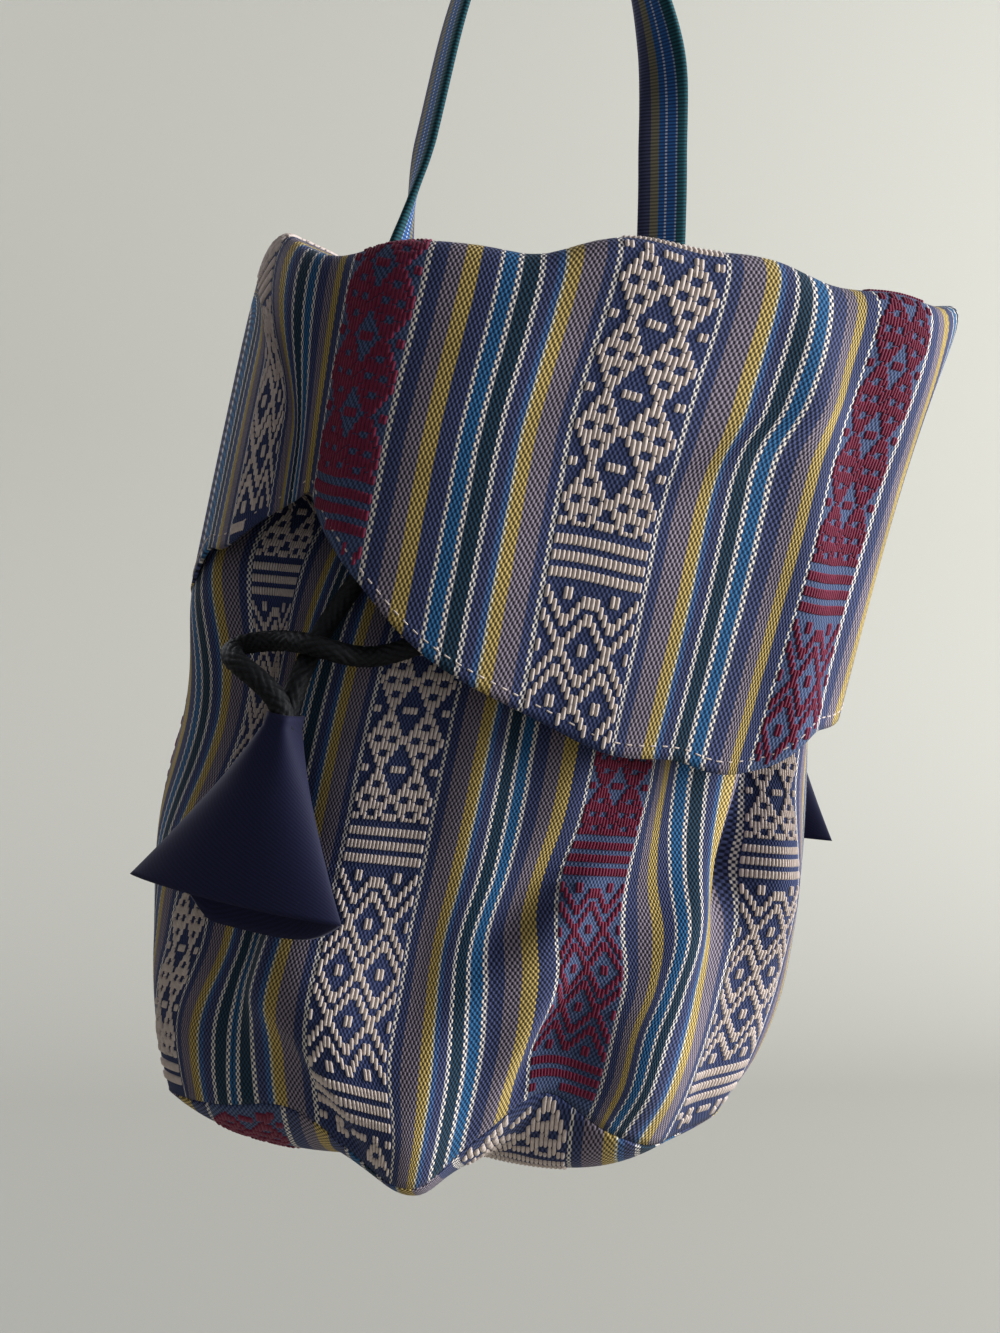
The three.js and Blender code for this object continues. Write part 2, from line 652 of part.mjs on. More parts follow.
function makeBell(frame) {
  const sides = 18;
  const collarWidth = CORD + CORD_GAP + SEAM_GAP + BELL_CLOTH;
  const collarDepth = CORD_RADIUS + CORD_GAP + SEAM_GAP + BELL_CLOTH;
  const stations = [0, 0.16, 0.3, 0.5, 0.72, 1];
  const loop = (t, inset) => {
    const spread = clamp((t - BELL_COLLAR / BELL_LENGTH) / (1 - BELL_COLLAR / BELL_LENGTH));
    const width = mix(collarWidth, BELL_HALF_WIDTH, spread ** 0.9) - inset * mix(1, 2.2, spread);
    const depth = mix(collarDepth, BELL_HALF_DEPTH, Math.sin((spread * Math.PI) / 2)) - inset;
    const points = [];
    for (let j = 0; j < sides; j++) {
      const a = (2 * Math.PI * j) / sides;
      const square = mix(0.5, 1, clamp(3 * spread));
      const lens = signedPower(Math.sin(a), mix(square, 1.5, spread));
      const hem = spread * (4 * Math.abs(Math.cos(a)) ** 3 - 5 * Math.max(0, -Math.sin(a)) ** 2);
      points.push(frame.apex.clone()
        .addScaledVector(frame.side, width * signedPower(Math.cos(a), square))
        .addScaledVector(frame.out, depth * lens)
        .addScaledVector(frame.down, t * BELL_LENGTH - hem * t));
    }
    return points;
  };
  const outside = stations.map((t) => loop(t, 0));
  const inside = stations.map((t) => loop(t, BELL_CLOTH)).reverse();
  return solidRing([...outside, ...inside]);
}

function bellEntry(frame, side, depth) {
  return frame.apex.clone()
    .addScaledVector(frame.side, side * (CORD_RADIUS + CORD_GAP / 2))
    .addScaledVector(frame.down, depth);
}

// One drawcord: out of a cone, into the vent, once round in the casing, back to the same cone.
function makeCord(mirror, z, firstStrand, lastStrand) {
  const ring = [];
  for (let k = 0; k <= 24; k++) ring.push(tunnelPoint(mirror * mix(-0.2, 0.7, k / 24), z));
  const points = [...firstStrand, ...ring, ...lastStrand];
  const curve = new THREE.CatmullRomCurve3(points, false, 'centripetal');
  const circle = [];
  for (let k = 0; k < 8; k++) {
    const a = (2 * Math.PI * k) / 8;
    circle.push(new THREE.Vector2(CORD_RADIUS * Math.cos(a), CORD_RADIUS * Math.sin(a)));
  }
  const options = { steps: 54, bevelEnabled: false, extrudePath: curve };
  const tube = new THREE.ExtrudeGeometry(new THREE.Shape(circle), options);
  tube.deleteAttribute('normal');
  tube.deleteAttribute('uv');
  const welded = mergeVertices(tube, 1e-3);
  return makeGeometry([...welded.attributes.position.array], [...welded.index.array]);
}

const onCloth = CORD_RADIUS + 3;
const leftFrame = makeBellFrame(-42, 92, -0.1);
const rightFrame = makeBellFrame(119, 102, 0);
const leftZ = TUNNEL_Z - (CORD + CORD_GAP) / 2;
const rightZ = TUNNEL_Z + (CORD + CORD_GAP) / 2;
const ventX = neck.half - tunnelInset;

const leftFirst = [
  bellEntry(leftFrame, -1, 14),
  bellEntry(leftFrame, -1, 0),
  bellEntry(leftFrame, -1.6, -8),
  beside(-75, 106, 12),
  beside(-63, 111, 13),
  beside(-47, 112, onCloth + 1),
  beside(-37, 118, onCloth),
  beside(-36, 130, onCloth),
  beside(-52, 146, onCloth),
  new THREE.Vector3(-ventX - 21, -11, leftZ - 19),
  new THREE.Vector3(-ventX - 12, -2, leftZ - 9),
  new THREE.Vector3(-ventX - 3, -3, leftZ - 1.5),
];
const leftLast = [
  new THREE.Vector3(-ventX - 4, 4, leftZ),
  new THREE.Vector3(-ventX - 13, 6, leftZ - 4),
  new THREE.Vector3(-ventX - 21, 6, leftZ - 14),
  beside(-80, 148, onCloth),
  beside(-62, 132, onCloth),
  beside(-52, 120, onCloth),
  bellEntry(leftFrame, 1.5, -8),
  bellEntry(leftFrame, 1, 0),
  bellEntry(leftFrame, 1, 14),
];
const rightFirst = [
  bellEntry(rightFrame, -1, 14),
  bellEntry(rightFrame, -1, 0),
  bellEntry(rightFrame, -1.3, -7),
  beside(101, 121, onCloth),
  beside(96, 138, onCloth),
  beside(92, 152, onCloth),
  new THREE.Vector3(ventX + 20, -3, rightZ - 20),
  new THREE.Vector3(ventX + 12, -2, rightZ - 8),
  new THREE.Vector3(ventX + 3, -3, rightZ),
];
const rightLast = [
  new THREE.Vector3(ventX + 4, 4, rightZ),
  new THREE.Vector3(ventX + 13, 7, rightZ - 4),
  new THREE.Vector3(ventX + 20, 9, rightZ - 15),
  beside(104, 150, onCloth),
  beside(107, 137, onCloth),
  beside(111, 121, onCloth),
  bellEntry(rightFrame, 1.3, -7),
  bellEntry(rightFrame, 1, 0),
  bellEntry(rightFrame, 1, 14),
];

function material(colour, roughness) {
  return new THREE.MeshStandardMaterial({ color: colour, roughness, metalness: 0 });
}

const flapGrid = makeFlapGrid();
const strap = makeStrap();
const tunnel = makeTunnel();
const vent = makeVent();

// The slack bag leans a little; the strap's hanging point becomes the origin.
const lean = new THREE.Matrix4().set(1, 0, BODY_LEAN, 0, 0, 1, 0, 0, 0, 0, 1, 0, 0, 0, 0, 1);
const origin = strap.hang.clone().applyMatrix4(lean);
const place = new THREE.Matrix4().makeTranslation(-origin.x, -origin.y, -origin.z).multiply(lean);

const bag = new THREE.Group();
bag.name = 'drawstring_bag';

function add(name, geometry, colour, roughness) {
  const solid = geometry.applyMatrix4(place);
  solid.computeVertexNormals();
  const mesh = new THREE.Mesh(solid, material(colour, roughness));
  mesh.name = name;
  bag.add(mesh);
}

add('front_panel', makePanel(0, [tunnel, vent]), 0x4a5a80, 0.9);
add('back_panel', makePanel(PANEL_WIDTH, [tunnel, vent]), 0x4a5a80, 0.9);
add('base_panel', makeBase(), 0x46557a, 0.9);
add('flap', makeFlapLayer(flapGrid, 0, FLAP_CLOTH, 0), 0x52628a, 0.9);
add('flap_lining', makeFlapLayer(flapGrid, FLAP_CLOTH + LAYER_GAP, LINING, LINING_TRIM), 0x1d1d3c, 0.92);
add('carry_strap', strap.geometry, 0x3f5f86, 0.9);
add('drawcord_left', makeCord(1, leftZ, leftFirst, leftLast), 0x14161a, 0.8);
add('drawcord_right', makeCord(-1, rightZ, rightFirst, rightLast), 0x14161a, 0.8);
add('cord_end_left', makeBell(leftFrame), 0x20204a, 0.92);
add('cord_end_right', makeBell(rightFrame), 0x20204a, 0.92);

export default bag;
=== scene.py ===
import math

import bmesh
import bpy
import numpy as np
from mathutils import Matrix, Vector


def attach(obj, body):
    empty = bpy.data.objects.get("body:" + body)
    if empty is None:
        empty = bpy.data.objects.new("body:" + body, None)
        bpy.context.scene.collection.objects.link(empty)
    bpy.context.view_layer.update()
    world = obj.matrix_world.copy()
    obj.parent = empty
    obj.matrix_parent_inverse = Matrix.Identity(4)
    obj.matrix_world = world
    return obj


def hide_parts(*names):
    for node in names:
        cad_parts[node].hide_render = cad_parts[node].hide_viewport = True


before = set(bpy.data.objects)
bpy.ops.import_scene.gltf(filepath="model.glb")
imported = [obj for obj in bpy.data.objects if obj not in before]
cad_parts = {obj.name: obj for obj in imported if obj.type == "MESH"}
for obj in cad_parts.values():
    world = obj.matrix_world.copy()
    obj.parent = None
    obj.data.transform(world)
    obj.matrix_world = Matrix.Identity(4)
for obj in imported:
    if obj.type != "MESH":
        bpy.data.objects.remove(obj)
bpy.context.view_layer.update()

# A small drawstring bag of hand-woven striped cotton, hanging by its strap.
# Lengths are millimetres on the upright bag; place() leans the bag and gives metres in the frame.
scene = bpy.context.scene

# Body
PANEL_WIDTH = 210.0
PANEL_HEIGHT = 192.0
BODY_RATIO = 0.62
BODY_LEAN = 0.1
PLEATS = 12
PLEAT_DEPTH = 5.2
SLACK_DEPTH = 0.9
GATHER_START = 62.0
BASE_EASE = 0.09
BASE_ROUND = 34.0
BASE_SAG = 14.0
AROUND = 2 * PANEL_WIDTH

# Drawcord and casing
CORD = 5.0
CORD_GAP = 0.6
CASING_HEIGHT = 17.0
CASING_START = PANEL_HEIGHT - CASING_HEIGHT
CASING_HALF = CORD / 2 + CORD_GAP + 1.6
TUNNEL_INSET = PLEAT_DEPTH + CASING_HALF

# Cones on the cord ends
BELL_LENGTH = 46.0
BELL_HALF_WIDTH = 26.0
BELL_HALF_DEPTH = 6.5
BELL_COLLAR = 2.5
BELL_OFF = 8.5
BELL_SLANT = 0.3

# Flap
FLAP_HALF_WIDTH = 166.0
FLAP_SIDE = 94.0
FLAP_OFFSET = 4.0
FLAP_FRONT = 56.0
FLAP_CENTRE = 8.0
FLAP_SQUARE = 2.6
FLAP_RISE = 15.0
FLAP_TILT = 0.06
FLAP_DROP = 117.0
FLAP_LOWEST = 40.0
FLAP_LEFT_CREASE = 93.0
FLAP_LEFT_DROP = 55.0
FLAP_LEFT_FOLD = 9.0
FLAP_LEFT_SPREAD = 10.0
FLAP_RIGHT_CREASE = 94.0
FLAP_RIGHT_DROP = 84.0
FLAP_RIGHT_FOLD = 24.0
FLAP_RIGHT_SPREAD = 30.0
FLAP_WING_DROP = 82.0
FLAP_GATHER = 0.18
SEAM_FLATNESS = 0.88
FLAP_ROUND = 10.0
FLAP_LAYERS = 1.4 + 0.8 + 0.9
LAY_GAP = 1.1

# Strap
STRAP_WIDTH = 14.0
STRAP_THICKNESS = 2.4

# Place of the hanging point on the upright bag, after the lean
HANG_POINT = np.array([23.603, 50.452, 325.531])


def place(points):
    points = np.asarray(points, float)
    leaned = points.copy()
    leaned[..., 0] += BODY_LEAN * points[..., 2]
    return (leaned - HANG_POINT) / 1000


def smooth(x):
    t = np.clip(x, 0, 1)
    return t * t * (3 - 2 * t)


def mix(a, b, t):
    return a + (b - a) * t


def bump(x, width):
    return np.exp(-((x / width) ** 2))


def signed_power(x, power):
    return np.sign(x) * np.abs(x) ** power


def add_object(name, data):
    added = bpy.data.objects.new(name, data)
    scene.collection.objects.link(added)
    return added


def smooth_mesh(name, corners, faces):
    mesh = bpy.data.meshes.new(name)
    mesh.from_pydata(corners, [], faces)
    mesh.polygons.foreach_set("use_smooth", [True] * len(faces))
    return mesh


# The camera stands at the left of the front, as high as the bag, and is turned a little clockwise.
CAMERA_SIDE = math.radians(-25)
CAMERA_ROLL = math.radians(5.2)
CAMERA_AIM = Vector((-0.024, -0.054, -0.219))
CAMERA_DISTANCE = 0.465
camera_back = Vector((math.sin(CAMERA_SIDE), -math.cos(CAMERA_SIDE), 0))
camera = add_object("camera", bpy.data.cameras.new("camera"))
camera.data.lens = 50
camera.data.sensor_width = 36
camera.data.clip_start = 0.01
camera.matrix_world = (
    Matrix.Translation(CAMERA_AIM + CAMERA_DISTANCE * camera_back)
    @ (-camera_back).to_track_quat("-Z", "Y").to_matrix().to_4x4()
    @ Matrix.Rotation(CAMERA_ROLL, 4, "Z")
)
scene.camera = camera


# An oval of half width 1, walked by its length: 0 is the front centre, +-0.25 the sides, +-0.5 the back.
class Oval:
    def __init__(self, ratio, squareness):
        angle = np.linspace(-math.pi, math.pi, 1441)
        self.ratio, self.squareness = ratio, squareness
        self.x = signed_power(np.sin(angle), 2 / squareness)
        self.y = -ratio * signed_power(np.cos(angle), 2 / squareness)
        self.run = np.concatenate([[0], np.cumsum(np.hypot(np.diff(self.x), np.diff(self.y)))])
        self.total = self.run[-1]

    def at(self, share):
        wanted = np.mod(np.asarray(share, float) + 0.5, 1) * self.total
        x = np.interp(wanted, self.run, self.x)
        y = np.interp(wanted, self.run, self.y)
        nx = signed_power(x, self.squareness - 1)
        ny = signed_power(y / self.ratio, self.squareness - 1) / self.ratio
        size = np.hypot(nx, ny)
        return x, y, nx / size, ny / size


body_oval = Oval(BODY_RATIO, 2)
flap_oval = Oval((FLAP_FRONT - FLAP_CENTRE) / FLAP_SIDE, FLAP_SQUARE)


# The body's oval up to just before its back centre, where a place would wrap round
def body_ring(share):
    return body_oval.at(np.clip(share, -0.5, 0.499999))


SHARES = np.linspace(-0.5, 0.5, 481)
RING_X, RING_Y, RING_NX, RING_NY = body_ring(SHARES)


# Height of the gathers, from -1 to 1, unevenly spaced round the body
def wave(share):
    turn = 2 * math.pi * share
    return np.cos(turn * PLEATS + 1.1 * np.sin(2 * turn + 0.7) + 0.8 * np.sin(5 * turn + 2))


# One level of the body cloth: every level has the same length of cloth, so gathers draw the oval in.
class Level:
    def __init__(self, v):
        self.v = v
        gathered = smooth((v - GATHER_START) / (CASING_START - GATHER_START))
        self.depth = float(mix(SLACK_DEPTH, PLEAT_DEPTH, gathered ** 1.3))
        length = AROUND * (1 - BASE_EASE * max(0.0, 1 - v / BASE_ROUND) ** 2)
        lift = self.depth * wave(SHARES)
        self.half = length / body_oval.total
        for _ in range(12):
            x = self.half * RING_X + RING_NX * lift
            y = self.half * RING_Y + RING_NY * lift
            self.run = np.concatenate([[0], np.cumsum(np.hypot(np.diff(x), np.diff(y)))])
            self.half *= length / self.run[-1]


knots = [Level(t * CASING_START) for t in (0, 0.07, 0.17, 0.28, 0.4, 0.52, 0.64, 0.76, 0.88, 0.97)]
knots += [Level(CASING_START + 2), Level(PANEL_HEIGHT)]
KNOT_V = [knot.v for knot in knots]
KNOT_Z = [0.0]
for lower, upper in zip(knots, knots[1:]):
    inward = (upper.half - lower.half) * (1 + BODY_RATIO) / 2
    along = upper.v - lower.v
    KNOT_Z.append(KNOT_Z[-1] + math.sqrt(max(0.2 * along**2, along**2 - inward**2)))
NECK_HALF = knots[-1].half
CASING_TOP = KNOT_Z[-1]
TUNNEL_Z = CASING_TOP - CASING_HEIGHT / 2
BACK_SEAM_Z = CASING_TOP - CASING_HEIGHT - 5
FLAP_TOP = CASING_TOP + FLAP_RISE


def half_at(z):
    return np.interp(z, KNOT_Z, [knot.half for knot in knots])


def depth_at(z):
    return np.interp(z, KNOT_Z, [knot.depth for knot in knots])


# Slack folds of the hanging cloth: place round the front, height, slant, length, width on either side, lift
SLACK_FOLDS = [
    (-70, 36, 0.1, 17, 3.5, 20, 7), (-49, 11, -0.93, 22, 3.5, 24, 8.5), (-12, 47, 0.85, 17, 5, 9, 3.5),
    (-9, 61, 0.5, 20, 8, 7, -3), (-3, 13, 0.3, 20, 5, 15, -6.5), (24, 14, 0.3, 22, 10, 13, 5),
    (49, 78, 0.27, 24, 7, 8, -9), (46, 64, 0, 8, 7, 7, -4.5), (62, 58, -0.2, 20, 9, 12, 4),
    (-37, 44, 0.3, 22, 8, 8, -2.5), (30, 50, 0.2, 16, 8, 8, 2.5), (-90, 60, 0.2, 30, 10, 10, 2.5),
    (-120, 128, 0, 28, 30, 24, 17), (-120, 66, 0, 34, 28, 22, 8), (86, 40, 0, 48, 22, 25, 5),
    (-160, 40, 0.6, 42, 13, 13, 4), (150, 50, -0.5, 44, 13, 13, 4), (200, 30, 0.9, 36, 12, 12, -4),
]


def round_body(s):
    return np.mod(s + 1.5 * AROUND, AROUND) - AROUND / 2


def slack_lift(s, v):
    lift = 0
    for at_s, at_v, slant, length, before, after, high in SLACK_FOLDS:
        turn = round_body(s - at_s)
        along = turn * math.sin(slant) + (v - at_v) * math.cos(slant)
        across = turn * math.cos(slant) - (v - at_v) * math.sin(slant)
        lift = lift + high * bump(across, np.where(across < 0, before, after)) * bump(along, length)
    return lift * mix(0.55, 1, smooth(v / 12)) * smooth((CASING_START - v) / 50)


# The base seam hangs in a pointed fold at the left of the front, a round one at the right, one at the back:
# place round the body, width on either side, lift
SEAM_FOLDS = [(-66, 14, 14, 4), (-31, 20, 12, -12), (2, 13, 13, 9), (42, 18, 18, -5), (190, 40, 40, -5.5)]
SEAM_REACH = 75.0


def seam_dip(s):
    dip = 0
    for at, before, after, lift in SEAM_FOLDS:
        off = round_body(s - at)
        dip = dip + lift * bump(off, np.where(off < 0, before, after))
    return dip


# Points of the body cloth at places s round the body on one level
def body_line(s, level):
    wanted = np.clip(round_body(s) / AROUND + 0.5, 0, 1) * level.run[-1]
    share = np.interp(wanted, level.run, SHARES)
    x, y, nx, ny = body_ring(share)
    lift = level.depth * wave(share) + slack_lift(s, level.v)
    z = np.interp(level.v, KNOT_V, KNOT_Z) + seam_dip(s) * (1 - smooth(level.v / SEAM_REACH))
    return np.stack([level.half * x + nx * lift, level.half * y + ny * lift, z + 0 * x], -1), share


# Smooth line through given points, at even steps
def smooth_line(points, step):
    points = np.asarray(points, float)
    ends = np.vstack([2 * points[0] - points[1], points, 2 * points[-1] - points[-2]])
    pieces = []
    for i in range(len(points) - 1):
        p0, p1, p2, p3 = ends[i : i + 4]
        d0, d1, d2 = (max(1e-4, np.linalg.norm(b - a)) ** 0.5 for a, b in ((p0, p1), (p1, p2), (p2, p3)))
        t1 = d1 * ((p1 - p0) / d0 - (p2 - p0) / (d0 + d1) + (p2 - p1) / d1)
        t2 = d1 * ((p2 - p1) / d1 - (p3 - p1) / (d1 + d2) + (p3 - p2) / d2)
        t = np.linspace(0, 1, 40, endpoint=False)[:, None]
        pieces.append(
            p1 + t1 * t + (3 * p2 - 3 * p1 - 2 * t1 - t2) * t**2 + (2 * p1 - 2 * p2 + t1 + t2) * t**3
        )
    return even_steps(np.vstack(pieces + [points[-1:]]), step)


def line_run(line):
    return np.concatenate([[0], np.cumsum(np.linalg.norm(np.diff(line, axis=0), axis=1))])


def points_along(line, run, at):
    return np.stack([np.interp(at, run, line[:, k]) for k in range(3)], -1)


def even_steps(line, step):
    run = line_run(line)
    return points_along(line, run, np.linspace(0, run[-1], max(2, round(run[-1] / step)) + 1))


def unit(vectors):
    return vectors / np.maximum(1e-9, np.linalg.norm(vectors, axis=-1, keepdims=True))


# Grid of points with a UV map in millimetres of cloth; a closed grid joins its last column to its first.
def cloth_mesh(name, points, cloth_u, cloth_v, closed=False, outward=1):
    rows, columns = points.shape[:2]
    index = np.arange(rows * columns).reshape(rows, columns)
    after = np.roll(index, -1, axis=1) if closed else index[:, 1:]
    before = index if closed else index[:, :-1]
    quads = np.stack([before[:-1], after[:-1], after[1:], before[1:]], -1).reshape(-1, 4)
    if outward < 0:
        quads = quads[:, ::-1]
    mesh = smooth_mesh(name, place(points).reshape(-1, 3).tolist(), quads.tolist())
    uv = np.stack(np.broadcast_arrays(cloth_u, cloth_v), -1).reshape(-1, 2)[quads.reshape(-1)]
    if closed:
        step = cloth_u[0, -1] - cloth_u[0, -2]
        seam = (quads % columns == columns - 1).any(axis=1)[:, None] & (quads % columns == 0)
        uv[seam.reshape(-1), 0] = cloth_u[0, -1] + step
    mesh.uv_layers.new(name="cloth").data.foreach_set("uv", uv.reshape(-1).astype(np.float32))
    return mesh


# Joins points that lie on each other, so that a folded-back wall is one closed skin
def weld(mesh):
    shell = bmesh.new()
    shell.from_mesh(mesh)
    bmesh.ops.remove_doubles(shell, verts=shell.verts, dist=1e-6)
    shell.to_mesh(mesh)
    shell.free()


def add_piece(name, mesh, material, slot, *nodes):
    piece = add_object(name, mesh)
    mesh.materials.append(material)
    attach(piece, "root")
    if nodes:
        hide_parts(*nodes)
    return piece


def thicken(piece, thickness):
    solidify = piece.modifiers.new("cloth_thickness", "SOLIDIFY")
    solidify.thickness = thickness / 1000
    solidify.offset = -1
    solidify.use_even_offset = False


# Skin of a tube along a line, with its radius at each step of the line and each angle round it
def tube_points(line, angle, radius):
    ahead = unit(np.gradient(line, axis=0))
    side = np.cross(ahead[0], (0.3, 0.5, 0.8))
    sides = []
    for direction in ahead:
        side = side - direction * np.dot(side, direction)
        side = side / np.linalg.norm(side)
        sides.append(side)
    across = np.array(sides)
    up = np.cross(ahead, across)
    turned = across[:, None] * np.cos(angle)[..., None] + up[:, None] * np.sin(angle)[..., None]
    return line[:, None] + radius[..., None] * turned


def linear(hex_colour):
    channels = [int(hex_colour[i : i + 2], 16) / 255 for i in (0, 2, 4)]
    return tuple(c / 12.92 if c <= 0.04045 else ((c + 0.055) / 1.055) ** 2.4 for c in channels) + (1.0,)


# Adds a shader node with its settings; an input given as a node takes that node's first output.
def add_node(tree, kind, inputs=None, **settings):
    node = tree.nodes.new("ShaderNode" + kind)
    for name, value in settings.items():
        setattr(node, name, value)
    for name, value in (inputs or {}).items():
        if isinstance(value, bpy.types.Node):
            value = value.outputs[0]
        if isinstance(value, bpy.types.NodeSocket):
            tree.links.new(value, node.inputs[name])
        else:
            node.inputs[name].default_value = value
    return node


def new_material(name, roughness, sheen, specular=0.15):
    material = bpy.data.materials.new(name)
    material.use_nodes = True
    shader = material.node_tree.nodes["Principled BSDF"]
    shader.inputs["Roughness"].default_value = roughness
    shader.inputs["Sheen Weight"].default_value = sheen
    shader.inputs["Sheen Roughness"].default_value = 0.5
    shader.inputs["Specular IOR Level"].default_value = specular
    return material, material.node_tree


# Joins the mixed colour of a material, and the height of its relief, to its shader.
def dress(tree, colour, height=None, strength=0.0, depth=0.0):
    shader = tree.nodes["Principled BSDF"]
    tree.links.new(colour.outputs[2], shader.inputs["Base Color"])
    if height:
        relief = add_node(tree, "Bump", {"Strength": strength, "Distance": depth, "Height": height})
        tree.links.new(relief.outputs[0], shader.inputs["Normal"])


def set_stops(ramp, stops, width):
    ramp.color_ramp.interpolation = "CONSTANT"
    elements = ramp.color_ramp.elements
    elements[0].color = linear(stops[0][1])
    elements.remove(elements[1])
    for start, colour in stops[1:]:
        elements.new(start / width).color = linear(colour)


# Hand-woven cotton in warp stripes: every thread comes up in turn with its neighbours, so the cloth shows
# small oval dots over darker gaps, and two pale threads side by side show as a fine zigzag line.
# Each yarn: its colour in the gaps, its colour on the dots.
YARNS = {
    "slate": ("262f44", "4c5a7c"), "pale": ("20263f", "dcd3c8"), "navy": ("12162a", "454d72"),
    "mauve": ("231f28", "877c88"), "mustard": ("4a3d1a", "bfa564"), "cream": ("4a432c", "cfc7ae"),
    "blue": ("0b2746", "2d648f"), "teal": ("050f17", "1d3b50"), "denim": ("122442", "476592"),
    "ink": ("141a33", "3a4468"),
}
HALF_REPEAT = 68.0
BURGUNDY_HALF = 10.35
# Yarn and width in mm of each stripe, from the left edge of the burgundy band to the next one. The inner
# group is woven in mirror order on the other side of the white band.
EDGE_GROUP = [("pale", 1.3), ("navy", 3.75), ("mauve", 3.8), ("mustard", 4.0), ("navy", 4.45), ("pale", 1.3)]
INNER_GROUP = [
    ("blue", 3.1), ("pale", 1.3), ("teal", 3.8), ("pale", 1.3), ("navy", 2.6), ("denim", 1.7), ("cream", 0.6),
    ("mustard", 3.35), ("mauve", 5.3), ("navy", 2.45), ("pale", 1.3),
]
WOVEN = [("slate", 20.7), *EDGE_GROUP, *INNER_GROUP, ("ink", 24.5), *INNER_GROUP[::-1], *EDGE_GROUP]
STRIPES = [(round(sum(width for _, width in WOVEN[:k]), 2), yarn) for k, (yarn, _) in enumerate(WOVEN)]
THREAD_WIDTH = 0.6
DOT_PITCH = 1.89


def half_repeat_stops(half, tone):
    low = half * HALF_REPEAT
    first = [yarn for start, yarn in STRIPES if start <= low][-1]
    stops = [(0.0, YARNS[first][tone])]
    return stops + [(at - low, YARNS[yarn][tone]) for at, yarn in STRIPES if low < at < low + HALF_REPEAT]


def make_striped_cotton():
    material, tree = new_material("striped_handwoven_cotton", 0.9, 0.04)
    uv = add_node(tree, "UVMap", uv_map="cloth")
    drift = add_node(tree, "TexNoise", {"Vector": uv, "Scale": 0.12, "Detail": 2.0})
    cloth = add_node(tree, "SeparateXYZ", {0: uv})
    shift = add_node(tree, "Math", {0: drift, 1: 0.5, 2: -0.25}, operation="MULTIPLY_ADD")
    across = add_node(tree, "Math", {0: cloth.outputs[0], 1: shift}, operation="ADD")
    from_edge = add_node(tree, "Math", {0: across, 1: BURGUNDY_HALF}, operation="ADD")
    in_repeat = add_node(tree, "Math", {0: from_edge, 1: 2 * HALF_REPEAT}, operation="FLOORED_MODULO")
    in_half = add_node(tree, "Math", {0: from_edge, 1: HALF_REPEAT}, operation="FLOORED_MODULO")
    second = add_node(tree, "Math", {0: in_repeat, 1: HALF_REPEAT}, operation="GREATER_THAN")
    share = add_node(tree, "Math", {0: in_half, 1: HALF_REPEAT}, operation="DIVIDE")
    tones = []
    for tone in (0, 1):
        ramps = [add_node(tree, "ValToRGB", {"Fac": share}) for _ in (0, 1)]
        for half, ramp in enumerate(ramps):
            set_stops(ramp, half_repeat_stops(half, tone), HALF_REPEAT)
        halves = add_node(tree, "Mix", {0: second, 6: ramps[0], 7: ramps[1]}, data_type="RGBA")
        tones.append(halves.outputs[2])
    thread = add_node(tree, "Math", {0: across, 1: math.pi / THREAD_WIDTH}, operation="MULTIPLY")
    row = add_node(tree, "Math", {0: cloth.outputs[1], 1: 2 * math.pi / DOT_PITCH}, operation="MULTIPLY")
    in_thread = add_node(tree, "Math", {0: thread}, operation="COSINE")
    in_row = add_node(tree, "Math", {0: row}, operation="COSINE")
    dot = add_node(tree, "Math", {0: in_thread, 1: in_row}, operation="MULTIPLY")
    shown = add_node(tree, "MapRange", {0: dot, 1: -0.45, 2: 0.55}, interpolation_type="SMOOTHSTEP")
    woven = add_node(tree, "Mix", {0: shown, 6: tones[0], 7: tones[1]}, data_type="RGBA")
    dye = add_node(tree, "TexNoise", {"Vector": uv, "Scale": 0.05, "Detail": 4.0})
    tone = add_node(tree, "MapRange", {0: dye, 1: 0.3, 2: 0.7, 3: 0.88, 4: 1.12})
    dyed = {0: 1.0, 6: woven.outputs[2], 7: tone}
    colour = add_node(tree, "Mix", dyed, data_type="RGBA", blend_type="MULTIPLY")
    dress(tree, colour, dot, 0.6, 0.00018)
    return material


# Soft-spun cotton of the raised pattern: thick matt yarn, a little uneven in tone
def make_float_yarn(name, shade, colour):
    material, tree = new_material(name, 0.9, 0.1)
    spot = add_node(tree, "TexCoord").outputs["Object"]
    fibre = add_node(tree, "TexNoise", {"Vector": spot, "Scale": 900.0, "Detail": 2.0})
    tone = add_node(tree, "Mix", {0: fibre, 6: linear(shade), 7: linear(colour)}, data_type="RGBA")
    dress(tree, tone, fibre, 0.4, 0.0001)
    return material


# Plain navy cotton sateen: a smooth close weave with fine slanted ribs, drawn wider than life to show at all
def make_navy_cotton():
    material, tree = new_material("navy_cotton_sateen", 0.72, 0.05)
    uv = add_node(tree, "UVMap", uv_map="cloth")
    ribbed = {"Vector": uv, "Scale": 0.6, "Distortion": 1.0, "Detail": 1.0, "Detail Scale": 1.5}
    ribs = add_node(tree, "TexWave", ribbed, bands_direction="DIAGONAL")
    tone = add_node(tree, "Mix", {0: ribs, 6: linear("0e0f2a"), 7: linear("141634")}, data_type="RGBA")
    dress(tree, tone, ribs, 0.12, 0.0001)
    return material


striped_cotton = make_striped_cotton()
pale_yarn = make_float_yarn("pale_float_yarn", "a3938a", "d9cabf")
burgundy_yarn = make_float_yarn("burgundy_float_yarn", "4a1224", "7c2440")
navy_cotton = make_navy_cotton()


# From the body's even surface to the middle of a cord that lies on the cloth
ON_CLOTH = CORD / 2 + 3


def beside(degrees, z, distance=ON_CLOTH):
    angle = math.radians(degrees)
    half, out = half_at(z), depth_at(z) + distance
    nx, ny = unit(np.array([math.sin(angle), -math.cos(angle) / BODY_RATIO]))
    return half * math.sin(angle) + nx * out, -half * BODY_RATIO * math.cos(angle) + ny * out, z


